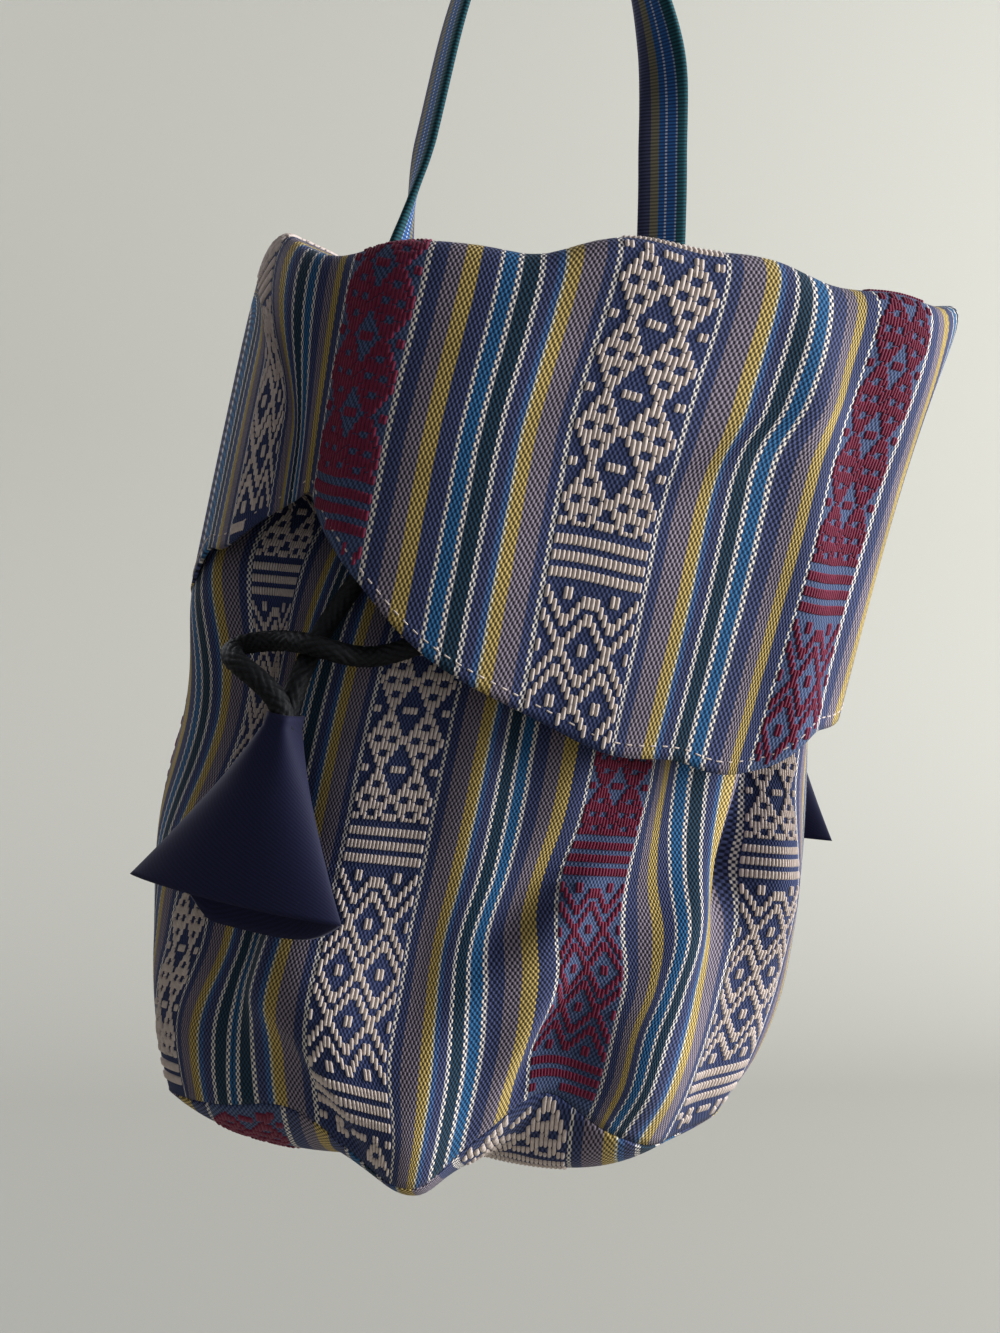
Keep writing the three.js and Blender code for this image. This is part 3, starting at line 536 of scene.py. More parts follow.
# Where a cone hangs beside the body, which way it points, and where the two strands enter it
class BellFrame:
    def __init__(self, degrees, top, tilt):
        angle = math.radians(degrees)
        self.out = np.array([math.sin(angle), -math.cos(angle), 0])
        wide = np.array([math.cos(angle), math.sin(angle), 0])
        half = half_at(top - BELL_LENGTH)
        reach = math.hypot(half * self.out[0], half * BODY_RATIO * self.out[1])
        foot = half**2 * (1 - BODY_RATIO**2) * self.out[0] * -self.out[1] / reach
        self.apex = self.out * (reach + BELL_HALF_DEPTH + BELL_OFF) + wide * foot
        self.apex[2] = top
        self.down = unit(np.array([0, 0, -1.0]) + wide * tilt)
        self.side = unit(wide - self.down * np.dot(wide, self.down))

    def entry(self, side, depth):
        across = (self.out + BELL_SLANT * self.side) * (CORD / 2 - 0.2)
        return self.apex + across * side + self.down * depth


def tunnel_line(mirror, z):
    x, y, nx, ny = body_oval.at(mirror * np.linspace(-0.2, 0.7, 25))
    points = [NECK_HALF * x - nx * TUNNEL_INSET, NECK_HALF * y - ny * TUNNEL_INSET, z + 0 * x]
    return list(np.stack(points, -1))


# The way each drawcord runs: out of its cone, once round in the casing and back
VENT_X = NECK_HALF - TUNNEL_INSET
LEFT_Z = TUNNEL_Z - (CORD + CORD_GAP) / 2
RIGHT_Z = TUNNEL_Z + (CORD + CORD_GAP) / 2
left_bell = BellFrame(-42, 92, -0.1)
right_bell = BellFrame(120, 108, 0)
left_route = [
    left_bell.entry(0.6, 14), left_bell.entry(1, 0),
    (-85.0, -39.1, 99.5), (-88.8, -35.0, 102.4), (-88.6, -29.3, 104.6), (-84.4, -25.5, 106.4),
    (-78.8, -25.7, 107.6), (-75.6, -33.2, 107.9), (-72.9, -40.5, 107.4), (-67.3, -42.6, 106.2),
    beside(-45, 106), beside(-39, 109), beside(-31, 116),
    beside(-26, 128), beside(-32, 144), beside(-52, 154),
    (-VENT_X - 20, -14, LEFT_Z - 15), (-VENT_X - 12, -4, LEFT_Z - 7), (-VENT_X - 3, -3, LEFT_Z - 1.5),
    *tunnel_line(1, LEFT_Z),
    (-VENT_X - 4, 4, LEFT_Z), (-VENT_X - 13, 6, LEFT_Z - 4), (-VENT_X - 20, 4, LEFT_Z - 14),
    beside(-76, 152), beside(-60, 146), beside(-52, 136),
    beside(-52, 126, ON_CLOTH - 1.5), beside(-56, 112, ON_CLOTH - 1.5),
    left_bell.entry(-1.3, -6), left_bell.entry(-1, 0), left_bell.entry(-0.6, 14),
]
right_route = [
    right_bell.entry(-0.6, 14), right_bell.entry(-1, 0), right_bell.entry(-1.2, -9),
    beside(100, 130, ON_CLOTH + 3), beside(96, 141), beside(92, 152),
    (VENT_X + 20, -3, RIGHT_Z - 20), (VENT_X + 12, -2, RIGHT_Z - 8), (VENT_X + 3, -3, RIGHT_Z),
    *tunnel_line(-1, RIGHT_Z),
    (VENT_X + 4, 4, RIGHT_Z), (VENT_X + 13, 7, RIGHT_Z - 4), (VENT_X + 20, 9, RIGHT_Z - 15),
    beside(104, 150), beside(107, 139, ON_CLOTH + 1), beside(112, 128, ON_CLOTH + 5),
    right_bell.entry(1.1, -9), right_bell.entry(1, 0), right_bell.entry(0.6, 14),
]
BRAID_STRANDS = 8
BRAID_PITCH = 2.6
BRAID_RELIEF = 0.55
CORD_SIDES = 40
CORD_STEP = 0.45
CORD_EASE = 4.5


# Over-and-under strands of the braid stand up as small slanted lozenges.
def braid_height(angle, run):
    strands = angle * BRAID_STRANDS / (2 * math.pi)
    right_hand, left_hand = strands + run / BRAID_PITCH, strands - run / BRAID_PITCH
    over = np.mod(np.floor(right_hand) + np.floor(left_hand), 2)
    right_ridge, left_ridge = (np.sin(math.pi * np.mod(way, 1)) for way in (right_hand, left_hand))
    return np.where(over > 0.5, right_ridge, left_ridge)


# Black plaited polyester: the crests of its strands carry a painted highlight in dark grey, and the gaps
# between them carry painted shade in black
def make_braided_cord():
    material, tree = new_material("black_braided_polyester", 0.6, 0.0, 0.12)
    height = add_node(tree, "Attribute", attribute_name="strand_height").outputs["Fac"]
    # Painted light: the strand height blends near-black painted shade in the gaps with a grey painted
    # highlight on the crests.
    tone = add_node(tree, "Mix", {0: height, 6: linear("010101"), 7: linear("151618")}, data_type="RGBA")
    dress(tree, tone)
    return material


braided_cord = make_braided_cord()


# Rounds off the tight turns of a limp cord and leaves its ends where they are.
def ease_line(line):
    reach = round(3 * CORD_EASE / CORD_STEP)
    weight = bump(np.arange(-reach, reach + 1) * CORD_STEP, CORD_EASE * math.sqrt(2))
    before = 2 * line[0] - line[reach:0:-1]
    after = 2 * line[-1] - line[-2 : -reach - 2 : -1]
    longer = np.concatenate([before, line, after])
    eased = [np.convolve(longer[:, k], weight / weight.sum(), "valid") for k in range(3)]
    return np.stack(eased, -1)


def make_drawcord(name, route, node):
    eased = ease_line(smooth_line(route, CORD_STEP))
    line = even_steps(eased + 0.8 * (eased - ease_line(eased)), CORD_STEP)
    run = line_run(line)[:, None]
    angle = np.arange(CORD_SIDES)[None, :] * 2 * math.pi / CORD_SIDES
    height = braid_height(angle, run)
    points = tube_points(line, angle, CORD / 2 - 0.6 + BRAID_RELIEF * height)
    mesh = cloth_mesh(name, points, angle * CORD / 2 + 0 * run, run, closed=True)
    strands = mesh.attributes.new("strand_height", "FLOAT", "POINT")
    strands.data.foreach_set("value", height.reshape(-1).astype(np.float32))
    return add_piece(name, mesh, braided_cord, "braided_cord", node), place(line), run[-1, 0] / 1000


# Cone of navy cotton bound round both ends of a cord: flat, with a wide curved hem
CONE_HEM = 4.5
CONE_BACK_HEM = 7.0
CONE_CLOTH = 0.8


def make_cone(name, bell, node):
    sides, steps = 96, 34
    angle = np.arange(sides) * 2 * math.pi / sides
    cosine, sine = np.cos(angle), np.sin(angle)
    collar = BELL_COLLAR / BELL_LENGTH
    collar_width = CORD / 2 + 0.7
    collar_depth = CORD + 0.2

    def ring(t, inset):
        spread = float(np.clip((t - collar) / (1 - collar), 0, 1))
        width = mix(collar_width, BELL_HALF_WIDTH, spread) - inset * mix(1, 2.2, spread)
        depth = mix(collar_depth, BELL_HALF_DEPTH, math.sin(spread * math.pi / 2)) - inset
        square = mix(0.5, 1, min(1, 3 * spread))
        lens = signed_power(sine, mix(square, 1.5, spread))
        inner = smooth((cosine + 0.68) / 0.45) * (1 - np.abs(cosine) ** 6) * (sine < 0)
        hem = spread * (CONE_HEM - CONE_BACK_HEM * inner * np.sqrt(np.abs(sine)))
        return (
            bell.apex
            + bell.side * (width * signed_power(cosine, square))[:, None]
            + bell.out * (depth * lens)[:, None]
            + bell.down * (t * BELL_LENGTH - hem * t)[:, None]
        )

    way = np.linspace(0, 1, steps)
    outside = np.array([ring(t, 0) for t in way])
    inside = np.array([ring(t, CONE_CLOTH) for t in way[::-1]])
    points = np.concatenate([outside, inside, outside[:1]])
    cloth_v = np.concatenate([way, way[::-1] - 2, [-2]])[:, None] * BELL_LENGTH
    mesh = cloth_mesh(name, points, angle[None, :] * 9, cloth_v, closed=True, outward=-1)
    weld(mesh)
    return add_piece(name, mesh, navy_cotton, "cone_cotton", node)


# Each side's route, its cone, and where its first strand leaves the cone
sides = [
    ("left", left_route, left_bell, left_bell.entry(1, 0)),
    ("right", right_route, right_bell, right_bell.entry(-1, 0)),
]
cords = [make_drawcord(f"braided_drawcord_{side}", route, f"drawcord_{side}") for side, route, *_ in sides]
cones = [make_cone(f"navy_cone_{side}", bell, f"cord_end_{side}") for side, _, bell, _ in sides]
for (cord, path, length), cone, (*_, start) in zip(cords, cones, sides):
    place(start)


# Cloth that a float or stitch can be set on: points and normals over even steps of both ways of the cloth
class Cloth:
    def __init__(self, u, v, points):
        self.u, self.v, self.points = u, v, points
        along_u = np.gradient(points, axis=1)
        along_v = np.gradient(points, axis=0)
        self.normals = unit(np.cross(along_u, along_v))

    def at(self, u, v):
        column = np.clip((u - self.u[0]) / (self.u[1] - self.u[0]), 0, len(self.u) - 1.001)
        row = np.clip((v - self.v[0]) / (self.v[1] - self.v[0]), 0, len(self.v) - 1.001)
        j, i = column.astype(int), row.astype(int)
        a, b = (column - j)[..., None], (row - i)[..., None]

        def between(grid):
            low = grid[i, j] * (1 - a) + grid[i, j + 1] * a
            return low * (1 - b) + (grid[i + 1, j] * (1 - a) + grid[i + 1, j + 1] * a) * b

        return between(self.points), unit(between(self.normals))


# The raised pattern, 20 columns of floats wide, going down the cloth in rows of 1.52 mm:
# paired diamonds, three bars, zigzags, three bars. Each float is its column, its middle and its length in mm.
PATTERN_ROW = 1.52
DIAMONDS = 66.6
BARS = 13.4
BAR_PITCH = 3.72
ZIGZAGS = 51.6
DIAMOND = 16.8
DIAMOND_START = 10.0
PATTERN = DIAMONDS + BARS + ZIGZAGS + BARS
FLOAT_LENGTH = 3.2
SCAN = 0.25


# Floats of one column between the edges of its diamonds and of the small holes left in them
def diamond_runs(column, halves, hole):
    off = abs(column % 10 - 5)
    centres = [DIAMOND_START + DIAMOND * k for k in range(4)]
    filled = []
    for y in np.arange(SCAN / 2, DIAMONDS, SCAN):
        away = min(abs(y - centre) for centre in centres)
        upright_hole = off == 0.5 and abs(away - 4) < hole
        side_hole = off in (1.5, 2.5) and away < hole
        filled.append(away < halves[int(off)] and not upright_hole and not side_hole)
    edges = np.flatnonzero(np.diff([0, *filled, 0]))
    return [(a * SCAN, b * SCAN) for a, b in zip(edges[::2], edges[1::2])]


def pattern_floats(halves, hole):
    floats = []
    for k in range(20):
        column = k + 0.5
        from_middle = abs(column - 10)
        for start, end in diamond_runs(column, halves, hole):
            count = max(1, round((end - start) / FLOAT_LENGTH))
            cuts = np.linspace(start, end, count + 1)
            if count > 1:
                cuts[1:-1] += 0.8 * (k % 2) - 0.4
            floats += [(column, (a + b) / 2, b - a - 0.1) for a, b in zip(cuts, cuts[1:])]
        if from_middle < 2 or from_middle > 8:
            between_rows = [DIAMOND_START + DIAMOND * (m + 0.5) for m in range(-1, 3)] + [DIAMONDS - 1.1]
            floats += [(column, y, 2.1) for y in between_rows]
        for start in (DIAMONDS, DIAMONDS + BARS + ZIGZAGS):
            floats += [(column, start + 3 + BAR_PITCH * m, 2.4) for m in range(3)]
        peak = 5 - abs(column % 10 - 5)
        rows = [0.5 + peak, 4 + peak, 14 - peak, 17 - peak, 17 + peak, 20 + peak, 30 - peak, 33.5 - peak]
        if from_middle < 2:
            rows[0] = max(rows[0], 2.0)
        if peak < 1:
            rows += [9, 25]
        if peak > 4:
            rows += [17, 1, 33]
        top = DIAMONDS + BARS
        floats += [(column, top + y * PATTERN_ROW, 2 * PATTERN_ROW - 0.1) for y in rows]
    return np.array(floats)


# Each yarn's floats and the pitch of their columns. A diamond is given by its half heights from its middle
# column outwards and the half height of its holes.
PALE = (pattern_floats((99.0, 6.9, 5.0, 3.15, 1.35), 0.9), 1.2)
BURGUNDY = (pattern_floats((99.0, 7.9, 6.3, 4.7, 2.9), 0.7), 1.02)


# Floats of one band: its middle across the cloth, its yarn, and where the pattern starts, going down
def band_floats(middle, yarn, start, low, high, downwards):
    pattern, pitch = yarn
    column, depth, length = pattern.T
    floats = []
    for repeat in range(-3, 4):
        v = start + downwards * (depth + repeat * PATTERN)
        keep = (v - length / 2 > low) & (v + length / 2 < high)
        floats.append(np.stack([middle + (column - 10) * pitch, v, length, 0 * length], -1)[keep])
    return np.concatenate(floats)


# Each float or stitch is a small domed capsule of 26 triangles that follows the cloth, turned by its last
# number: a ring on the cloth, a smaller one above it and a crest of two points. A corner of the ring is its
# place across and past the end, as shares of the width, and the end it belongs to.
FLOAT_RING = [
    (-0.5, 0, 1), (-0.32, 0.36, 1), (0.32, 0.36, 1), (0.5, 0, 1),
    (0.5, 0, -1), (0.32, -0.36, -1), (-0.32, -0.36, -1), (-0.5, 0, -1),
]
FLOAT_FACES = [[k, (k + 1) % 8, 8 + (k + 1) % 8, 8 + k] for k in range(8)]
FLOAT_FACES += [[8 + k, 9 + k, 16] for k in range(3)] + [[12 + k, 13 + k, 17] for k in range(3)]
FLOAT_FACES += [[11, 12, 17, 16], [15, 8, 16, 17]]


def float_piece(name, sets, width, height, material):
    across, past, end = np.array(FLOAT_RING).T
    side = width * np.concatenate([across, 0.6 * across, [0, 0]])
    past = np.concatenate([width * past, 0.6 * width * past, [-0.1, 0.1]])
    end = np.concatenate([end, end, [1, -1]])
    rise = np.repeat([-0.08, 0.8 * height, height], [8, 8, 2])
    corners = []
    for cloth, floats in sets:
        u, v, length, turn = floats.T[..., None]
        along = end * (length / 2 - 0.36 * width) + past
        at_u = u + side * np.cos(turn) + along * np.sin(turn)
        at_v = v + along * np.cos(turn) - side * np.sin(turn)
        points, normals = cloth.at(at_u, at_v)
        corners.append((points + normals * rise[:, None]).reshape(-1, 3))
    corners = place(np.concatenate(corners)).tolist()
    firsts = range(0, len(corners), len(rise))
    faces = [[first + c for c in face[::-1]] for first in firsts for face in FLOAT_FACES]
    return add_piece(name, smooth_mesh(name, corners, faces), material, "striped_cotton")


# Where the cloth of each panel lies round the body: folds draw the front in, more at its left side. The front
# has one row of places for every 12 mm of height from the base seam up, left half and right half.
FRONT_CLOTH = (-105, -82, -68, -54, -44, -32.7, -20, -11, 0)
FRONT_CLOTH += (11, 21, 28.3, 38, 45, 50, 53.5, 56, 68, 80, 91, 105)
FRONT_STEP = 12.0
FRONT_LEFT = [
    (-80, -58, -44, -36, -31.5, -23.3, -12.3, -4, 5.6),
    (-79, -59, -46, -37, -31.7, -23.4, -12.3, -4, 5.6),
    (-78, -60, -50.5, -39.8, -32, -23.6, -12.3, -4, 5.6),
    (-76, -60, -50.5, -39.8, -33, -25.4, -13.5, -5, 4),
    (-75, -60, -50.5, -40, -33.5, -26.5, -15.6, -8.4, 0.6),
    (-75, -60, -50.5, -39.8, -32.4, -24, -14.3, -7.6, 1.2),
] + 4 * [(-75, -60, -50.5, -39.8, -32, -23.5, -13, -5.5, 3.2)]
FRONT_RIGHT = 2 * [(15, 18.5, 20.5, 25.5, 34, 39, 43, 45.5, 57, 69, 79, 92)] + [
    (15, 19, 21, 26.6, 34.5, 40, 43.7, 46, 57.7, 69, 79, 92),
    (15, 21.6, 24, 30, 36, 42, 46, 48.3, 58.5, 69, 78.5, 91.5),
    (11.3, 21, 25, 32.4, 37.5, 44, 48.7, 51, 59.5, 67, 76, 90),
    (10.2, 17, 22, 30.4, 34.5, 43, 49.5, 52, 59, 66, 73.5, 88),
    (11.3, 15.6, 19.4, 29, 34, 43, 51, 53.3, 59, 64.5, 71.5, 86),
    (12.6, 16, 18.6, 28, 34.5, 43.5, 51.7, 54, 59.5, 64, 71, 86),
    (12.6, 16.5, 19.5, 28.5, 35, 43, 50, 52.5, 59, 65, 72.5, 88),
    (12, 17, 21, 30, 36.5, 42, 47.5, 50, 58.5, 67, 76, 91),
]
FRONT_PLACE = np.hstack([FRONT_LEFT, FRONT_RIGHT])
BACK_CLOTH = (-203, 21, 45, 56, 68, 80, 105)
BACK_PLACE = (302, 314.5, 320.5, 325, 329.5)
BODY_SLACK = 0.8
LOWER_SLACK = 0.84
BARS_HEIGHT = 65.0
BACK_BARS_HEIGHT = 123.0


# Height in the cloth at place s, height v: rows of the weave stay nearly level over the curved base seam.
def cloth_height(s, v):
    level = v + 0.6 * seam_dip(s) * (1 - smooth(v / SEAM_REACH)) - BARS_HEIGHT
    return BARS_HEIGHT / BODY_SLACK + level / np.where(level < 0, LOWER_SLACK, BODY_SLACK)


def front_row(v):
    last = len(FRONT_PLACE) - 1
    at = min(max(v / FRONT_STEP, 0), last - 0.001)
    k, t = int(at), at % 1
    before, low, high, after = (FRONT_PLACE[min(max(k + n, 0), last)] for n in (-1, 0, 1, 2))
    bend = (2 * before - 5 * low + 4 * high - after) * t**2 + (3 * low - before - 3 * high + after) * t**3
    return low + ((high - before) * t + bend) / 2


# Share of the way back to even places in the gathers under the casing
EVEN_START = 140.0
EVEN_REACH = 22.0


def evened(v):
    return smooth((v - EVEN_START) / EVEN_REACH)


def front_place(s, v):
    return mix(np.interp(s, FRONT_CLOTH, front_row(v)), s, evened(v))


def back_place(s, v):
    level = mix(105, 315, (s - BACK_CLOTH[0]) / (BACK_CLOTH[-1] - BACK_CLOTH[0]))
    sway = 10 * bump(v - 88, 34) * np.clip((105 - s) / 37, 0, 1)
    sway = sway - 6 * smooth((40 - v) / 26) * np.clip((105 - s) / 14, 0, 1)
    row = front_row(v)
    drawn = np.interp(s, BACK_CLOTH, (row[-1], *BACK_PLACE, row[0] + AROUND))
    return mix(drawn + sway * np.clip((s + 60) / 60, 0, 1), level, evened(v))


# Front and back of the body with the casing folded down inside round the cords; the casing is left open at
# the sides where the cords come out
PANEL_ROWS = 96
PANEL_CLOTH = 0.8
VENT_SHARE = 0.14
VENT_START = 160.0
VENT_REACH = 5.0
panel_levels = [Level(v) for v in np.linspace(0, PANEL_HEIGHT, PANEL_ROWS + 1)]


def make_panel(name, low, high, columns, where, node):
    cloth_u = np.linspace(low, high, columns + 1)
    middle = (low + high) / 2

    def opened(v):
        drawn = VENT_SHARE * smooth((v - VENT_START) / VENT_REACH)
        return middle + (cloth_u - middle) * (1 - drawn)

    def rows_of(cloth_at):
        places = [(where(cloth_at(level.v), level.v), level) for level in panel_levels]
        return [body_line(*at)[0] for at in places], [cloth_height(s, level.v) for s, level in places]

    even, even_v = map(np.array, rows_of(lambda v: cloth_u))
    rows, heights = rows_of(opened)
    across = [opened(level.v) for level in panel_levels]
    top = panel_levels[-1]
    share = body_line(where(opened(top.v), top.v), top)[1]
    x, y, nx, ny = body_ring(share)
    outer_lift = top.depth * wave(share)
    inner_lift = -TUNNEL_INSET - CORD / 2 - 1.5 + 0.5 * wave(share)
    folded = [(t, 2.5 * math.sin(math.pi * t)) for t in (0.15, 0.35, 0.65, 0.85)]
    folded += [(1.0, -CASING_HEIGHT * t) for t in (0, 0.2, 0.4, 0.6, 0.8, 1)]
    for t, rise in folded:
        lift = mix(outer_lift, inner_lift, t)
        row = [NECK_HALF * x + nx * lift, NECK_HALF * y + ny * lift, CASING_TOP + rise + 0 * x]
        rows.append(np.stack(row, -1))
        across.append(opened(top.v))
        heights.append(heights[-1] + 2.5)
    mesh = cloth_mesh(name, np.array(rows), np.array(across), np.array(heights))
    panel = add_piece(name, mesh, striped_cotton, "striped_cotton", node)
    thicken(panel, PANEL_CLOTH)
    steps = np.arange(even_v.min(), even_v.max(), 1.2)
    threads = [points_along(even[:, j], even_v[:, j], steps) for j in range(columns + 1)]
    return panel, Cloth(cloth_u, steps, np.stack(threads, 1)), even_v[0]


front, front_cloth, front_seam = make_panel("striped_front", -104.85, 104.85, 156, front_place, "front_panel")
back, back_cloth, back_seam_v = make_panel("striped_back", -202.85, 104.85, 214, back_place, "back_panel")


# Sagging base: the same cloth turned, its stripes running back and to the right
BASE_TURN = math.radians(35)
BASE_DRAW = 1.12
BASE_WHITE = 24.0
base_rim = body_line(np.linspace(-AROUND / 2, AROUND / 2, 241)[:-1], panel_levels[0])[0]


# Height at a share of the way from the middle to the rim
def base_height(share, rim_z):
    return rim_z * share**2 - BASE_SAG * (1 - share**4) - 0.3


def base_cloth_at(x, y):
    across = x * math.cos(BASE_TURN) - y * math.sin(BASE_TURN)
    along = x * math.sin(BASE_TURN) + y * math.cos(BASE_TURN)
    return BASE_DRAW * across - BASE_WHITE + HALF_REPEAT, BASE_DRAW * along


class BaseCloth:
    def at(self, u, v):
        across = (u + BASE_WHITE - HALF_REPEAT) / BASE_DRAW
        along = v / BASE_DRAW
        x = across * math.cos(BASE_TURN) + along * math.sin(BASE_TURN)
        y = -across * math.sin(BASE_TURN) + along * math.cos(BASE_TURN)
        points = np.stack([x, y, self.height(x, y)], -1)
        tilt_x = self.height(x + 0.5, y) - self.height(x - 0.5, y)
        tilt_y = self.height(x, y + 0.5) - self.height(x, y - 0.5)
        return points, unit(np.stack([tilt_x, tilt_y, -np.ones_like(x)], -1))

    def share(self, x, y):
        rim_turn = np.arctan2(base_rim[:, 1], base_rim[:, 0])
        order = np.argsort(rim_turn)
        rim = np.stack([np.hypot(base_rim[:, 0], base_rim[:, 1]), base_rim[:, 2]])[:, order]
        turn = np.arctan2(y, x)
        reach, rim_z = (np.interp(turn, rim_turn[order], row, period=2 * math.pi) for row in rim)
        return np.hypot(x, y) / reach, rim_z

    def height(self, x, y):
        return base_height(*self.share(x, y))


base_cloth = BaseCloth()


def make_base():
    share = np.linspace(0.004, 1, 44)[:, None]
    x, y, z = (base_rim[None, :, k] for k in range(3))
    points = np.stack([x * share, y * share, base_height(share, z)], -1)
    mesh = cloth_mesh("striped_base", points, x * share, y * share, closed=True)
    corner = np.array([loop.vertex_index for loop in mesh.loops])
    flat = np.stack(base_cloth_at(x * share, y * share), -1).reshape(-1, 2)[corner]
    mesh.uv_layers["cloth"].data.foreach_set("uv", flat.reshape(-1).astype(np.float32))
    piece = add_piece("striped_base", mesh, striped_cotton, "striped_cotton", "base_panel")
    thicken(piece, PANEL_CLOTH)
    return piece


base = make_base()


# Flap: each warp thread runs up the back, over the mouth and down all round
def back_seam(x):
    off = depth_at(BACK_SEAM_Z) + FLAP_LAYERS + LAY_GAP
    half = half_at(BACK_SEAM_Z) + off
    depth = half_at(BACK_SEAM_Z) * BODY_RATIO + off
    return depth * math.sqrt(max(0.05, 1 - (SEAM_FLATNESS * x / half) ** 2))


def flap_drop(p):
    crease = -FLAP_LEFT_CREASE if p < FLAP_LOWEST else FLAP_RIGHT_CREASE
    corner = FLAP_LEFT_DROP if p < FLAP_LOWEST else FLAP_RIGHT_DROP
    share = (p - FLAP_LOWEST) / (crease - FLAP_LOWEST)
    if share < 1:
        return mix(FLAP_DROP, corner, share**2.4)
    wing = (abs(p) - abs(crease)) / (FLAP_HALF_WIDTH - abs(crease))
    return mix(corner, FLAP_WING_DROP, min(1, max(0, wing)) ** 0.7)


# Soft waves along the flap's edge: place, width, height. Settling moves a whole thread, the rest its hem.
FLAP_SETTLE = [(-122, 16, 4.4), (-76, 18, -3.6), (-46, 10, -2.2), (-18, 18, 5.6)]
HEM_WAVES = [(-100, 9, -2.8), (-68, 16, 2.5), (-20, 14, -2), (20, 10, 2.2), (46, 10, -2.5), (-110, 11, 5.4)]
# Lengths of hem that hang lower: start and width of its slope, end and width of its slope, height
HEM_SHELVES = [(-160, 14, -116, 18, 8), (-95, 20, 38, 25, 4), (32, 20, 128, 25, -5)]


def waves(p, table):
    return sum(height * bump(p - at, width) for at, width, height in table)


def flap_thread(p):
    x, y, nx, ny = (float(c) for c in flap_oval.at(p / (FLAP_SIDE * flap_oval.total)))
    left_fold = FLAP_LEFT_FOLD * bump(p + FLAP_LEFT_CREASE, FLAP_LEFT_SPREAD)
    right_fold = FLAP_RIGHT_FOLD * bump(p - FLAP_RIGHT_CREASE, FLAP_RIGHT_SPREAD)
    x = FLAP_OFFSET + FLAP_SIDE * x
    y = FLAP_SIDE * y - FLAP_CENTRE
    back_x = FLAP_GATHER * p
    back_y = back_seam(back_x)
    away = math.hypot(x - back_x, y - back_y)
    ripple = (1.6 * math.sin(p / 13 + 0.6) + 1.2 * math.sin(p / 7.1)) * smooth((away - 35) / 50)
    settle = waves(p, FLAP_SETTLE)
    top = FLAP_TOP + FLAP_TILT * x + ripple - 0.2 * left_fold + settle
    drop = flap_drop(p) + settle + waves(p, HEM_WAVES)
    for start, rising, end, falling, height in HEM_SHELVES:
        drop += height * smooth((p - start) / rising) * smooth((end - p) / falling)
    inset = min(FLAP_ROUND, 0.36 * away)
    to_back = np.array([back_x - x, back_y - y]) / away
    back_top = FLAP_TOP + FLAP_TILT * back_x

    def hang(t, out):
        move = out - left_fold * (0.3 + 0.7 * t) - right_fold * t
        return np.array([x + nx * move, y + ny * move, top - drop * t])

    def roof(d):
        return np.array([x + to_back[0] * d, y + to_back[1] * d, mix(top, back_top, d / away)])

    line = np.array([
        (back_x, back_y, BACK_SEAM_Z - 4),
        (back_x, back_y, FLAP_TOP - FLAP_ROUND),
        mix(roof(away), roof(away - inset), 0.25),
        roof(away - inset),
        roof(inset),
        mix(hang(0, 0), roof(inset), 0.25),
        hang(FLAP_ROUND / drop, 0.5),
        hang(0.6, 1.5),
        hang(1, 2),
    ])
    for _ in range(4):
        near = line[:-1] * 0.75 + line[1:] * 0.25
        far = line[:-1] * 0.25 + line[1:] * 0.75
        line = np.concatenate([line[:1], np.stack([near, far], 1).reshape(-1, 3), line[-1:]])
    rise = FLAP_TOP - BACK_SEAM_Z + 4
    length = line_run(line)[-1]
    return line, length, length * (rise + away) / (rise + away + drop)


FLAP_CLOTH = 0.9
LINING_CLOTH = 0.5
LINING_DEPTH = 1.9
LINING_TRIM = 2.0
FLAP_COLUMNS = 240
FLAP_ROWS = 130
flap_p = np.linspace(-FLAP_HALF_WIDTH, FLAP_HALF_WIDTH, 222)
flap_threads = [flap_thread(p) for p in flap_p]
flap_length = np.array([thread[1] for thread in flap_threads])
flap_ridge = np.array([thread[2] for thread in flap_threads])
flap_q = np.arange(0, flap_length.max() + 2, 1.0)

# Where the cloth of the flap lies along the line where it turns down: at that line, 45 mm and 106 mm below it
FLAP_CLOTH_U = (-205, -172, -159, -136, -115, -102, -89, -79, -68, -38, 0, 23, 35, 45, 57, 68, 136, 182)
FLAP_AT_TURN = (-166, -146, -138, -124, -112, -102.5, -94.5, -90, -81.5, -53.5)
FLAP_AT_TURN += (-14.5, 12.5, 24.3, 36.5, 46.5, 58, 118, 166)
FLAP_BELOW_LEFT = (-166, -120, -113, -104, -99, -97, -94.5, -90.7, -82.5, -56, -20.5)
FLAP_BELOW = FLAP_BELOW_LEFT + (6, 17, 28.5, 38, 49, 116, 166)
FLAP_AT_HEM = FLAP_BELOW_LEFT + (0.5, 10.8, 21.5, 28.8, 38, 110, 166)


def flap_place(u, q):
    near, middle, far = (np.interp(u, FLAP_CLOTH_U, at) for at in (FLAP_AT_TURN, FLAP_BELOW, FLAP_AT_HEM))
    below = q - np.interp(near, flap_p, flap_ridge)
    upper = mix(near, middle, smooth(below / 45))
    under = below - 40 + 0.65 * (u - 30)
    crease = -2.2 * np.tanh(under / 5) * bump(under, 26) * bump(u - 30, 18)
    return upper + crease + (far - middle) * np.clip((below - 35) / 71, 0, 1.1), below


# Gathers at the back seam and soft folds in the hanging front of the flap: place, lean, width, lift
FLAP_FOLDS = [(42, 0.12, 9, 1.5), (26, 0.14, 9, -1.8), (-34, 0.05, 12, 1.2), (72, -0.1, 11, -1.2)]


def flap_lift(p, q, below):
    slanted = 1.5 * bump(below - 38 + 0.7 * (p - 20), 5) * bump(p - 20, 22)
    gathers = np.cos(p / 3.4 + 0.9 * np.sin(p / 21)) + 0.5 * np.cos(p / 5.3 + 1)
    gathers = 1.3 * gathers * (1 - smooth((q - 20) / 95)) * smooth(q / 6)
    front = sum(lift * bump(p - at - lean * below, width) for at, lean, width, lift in FLAP_FOLDS)
    return gathers + slanted - front * smooth((below + 5) / 25)


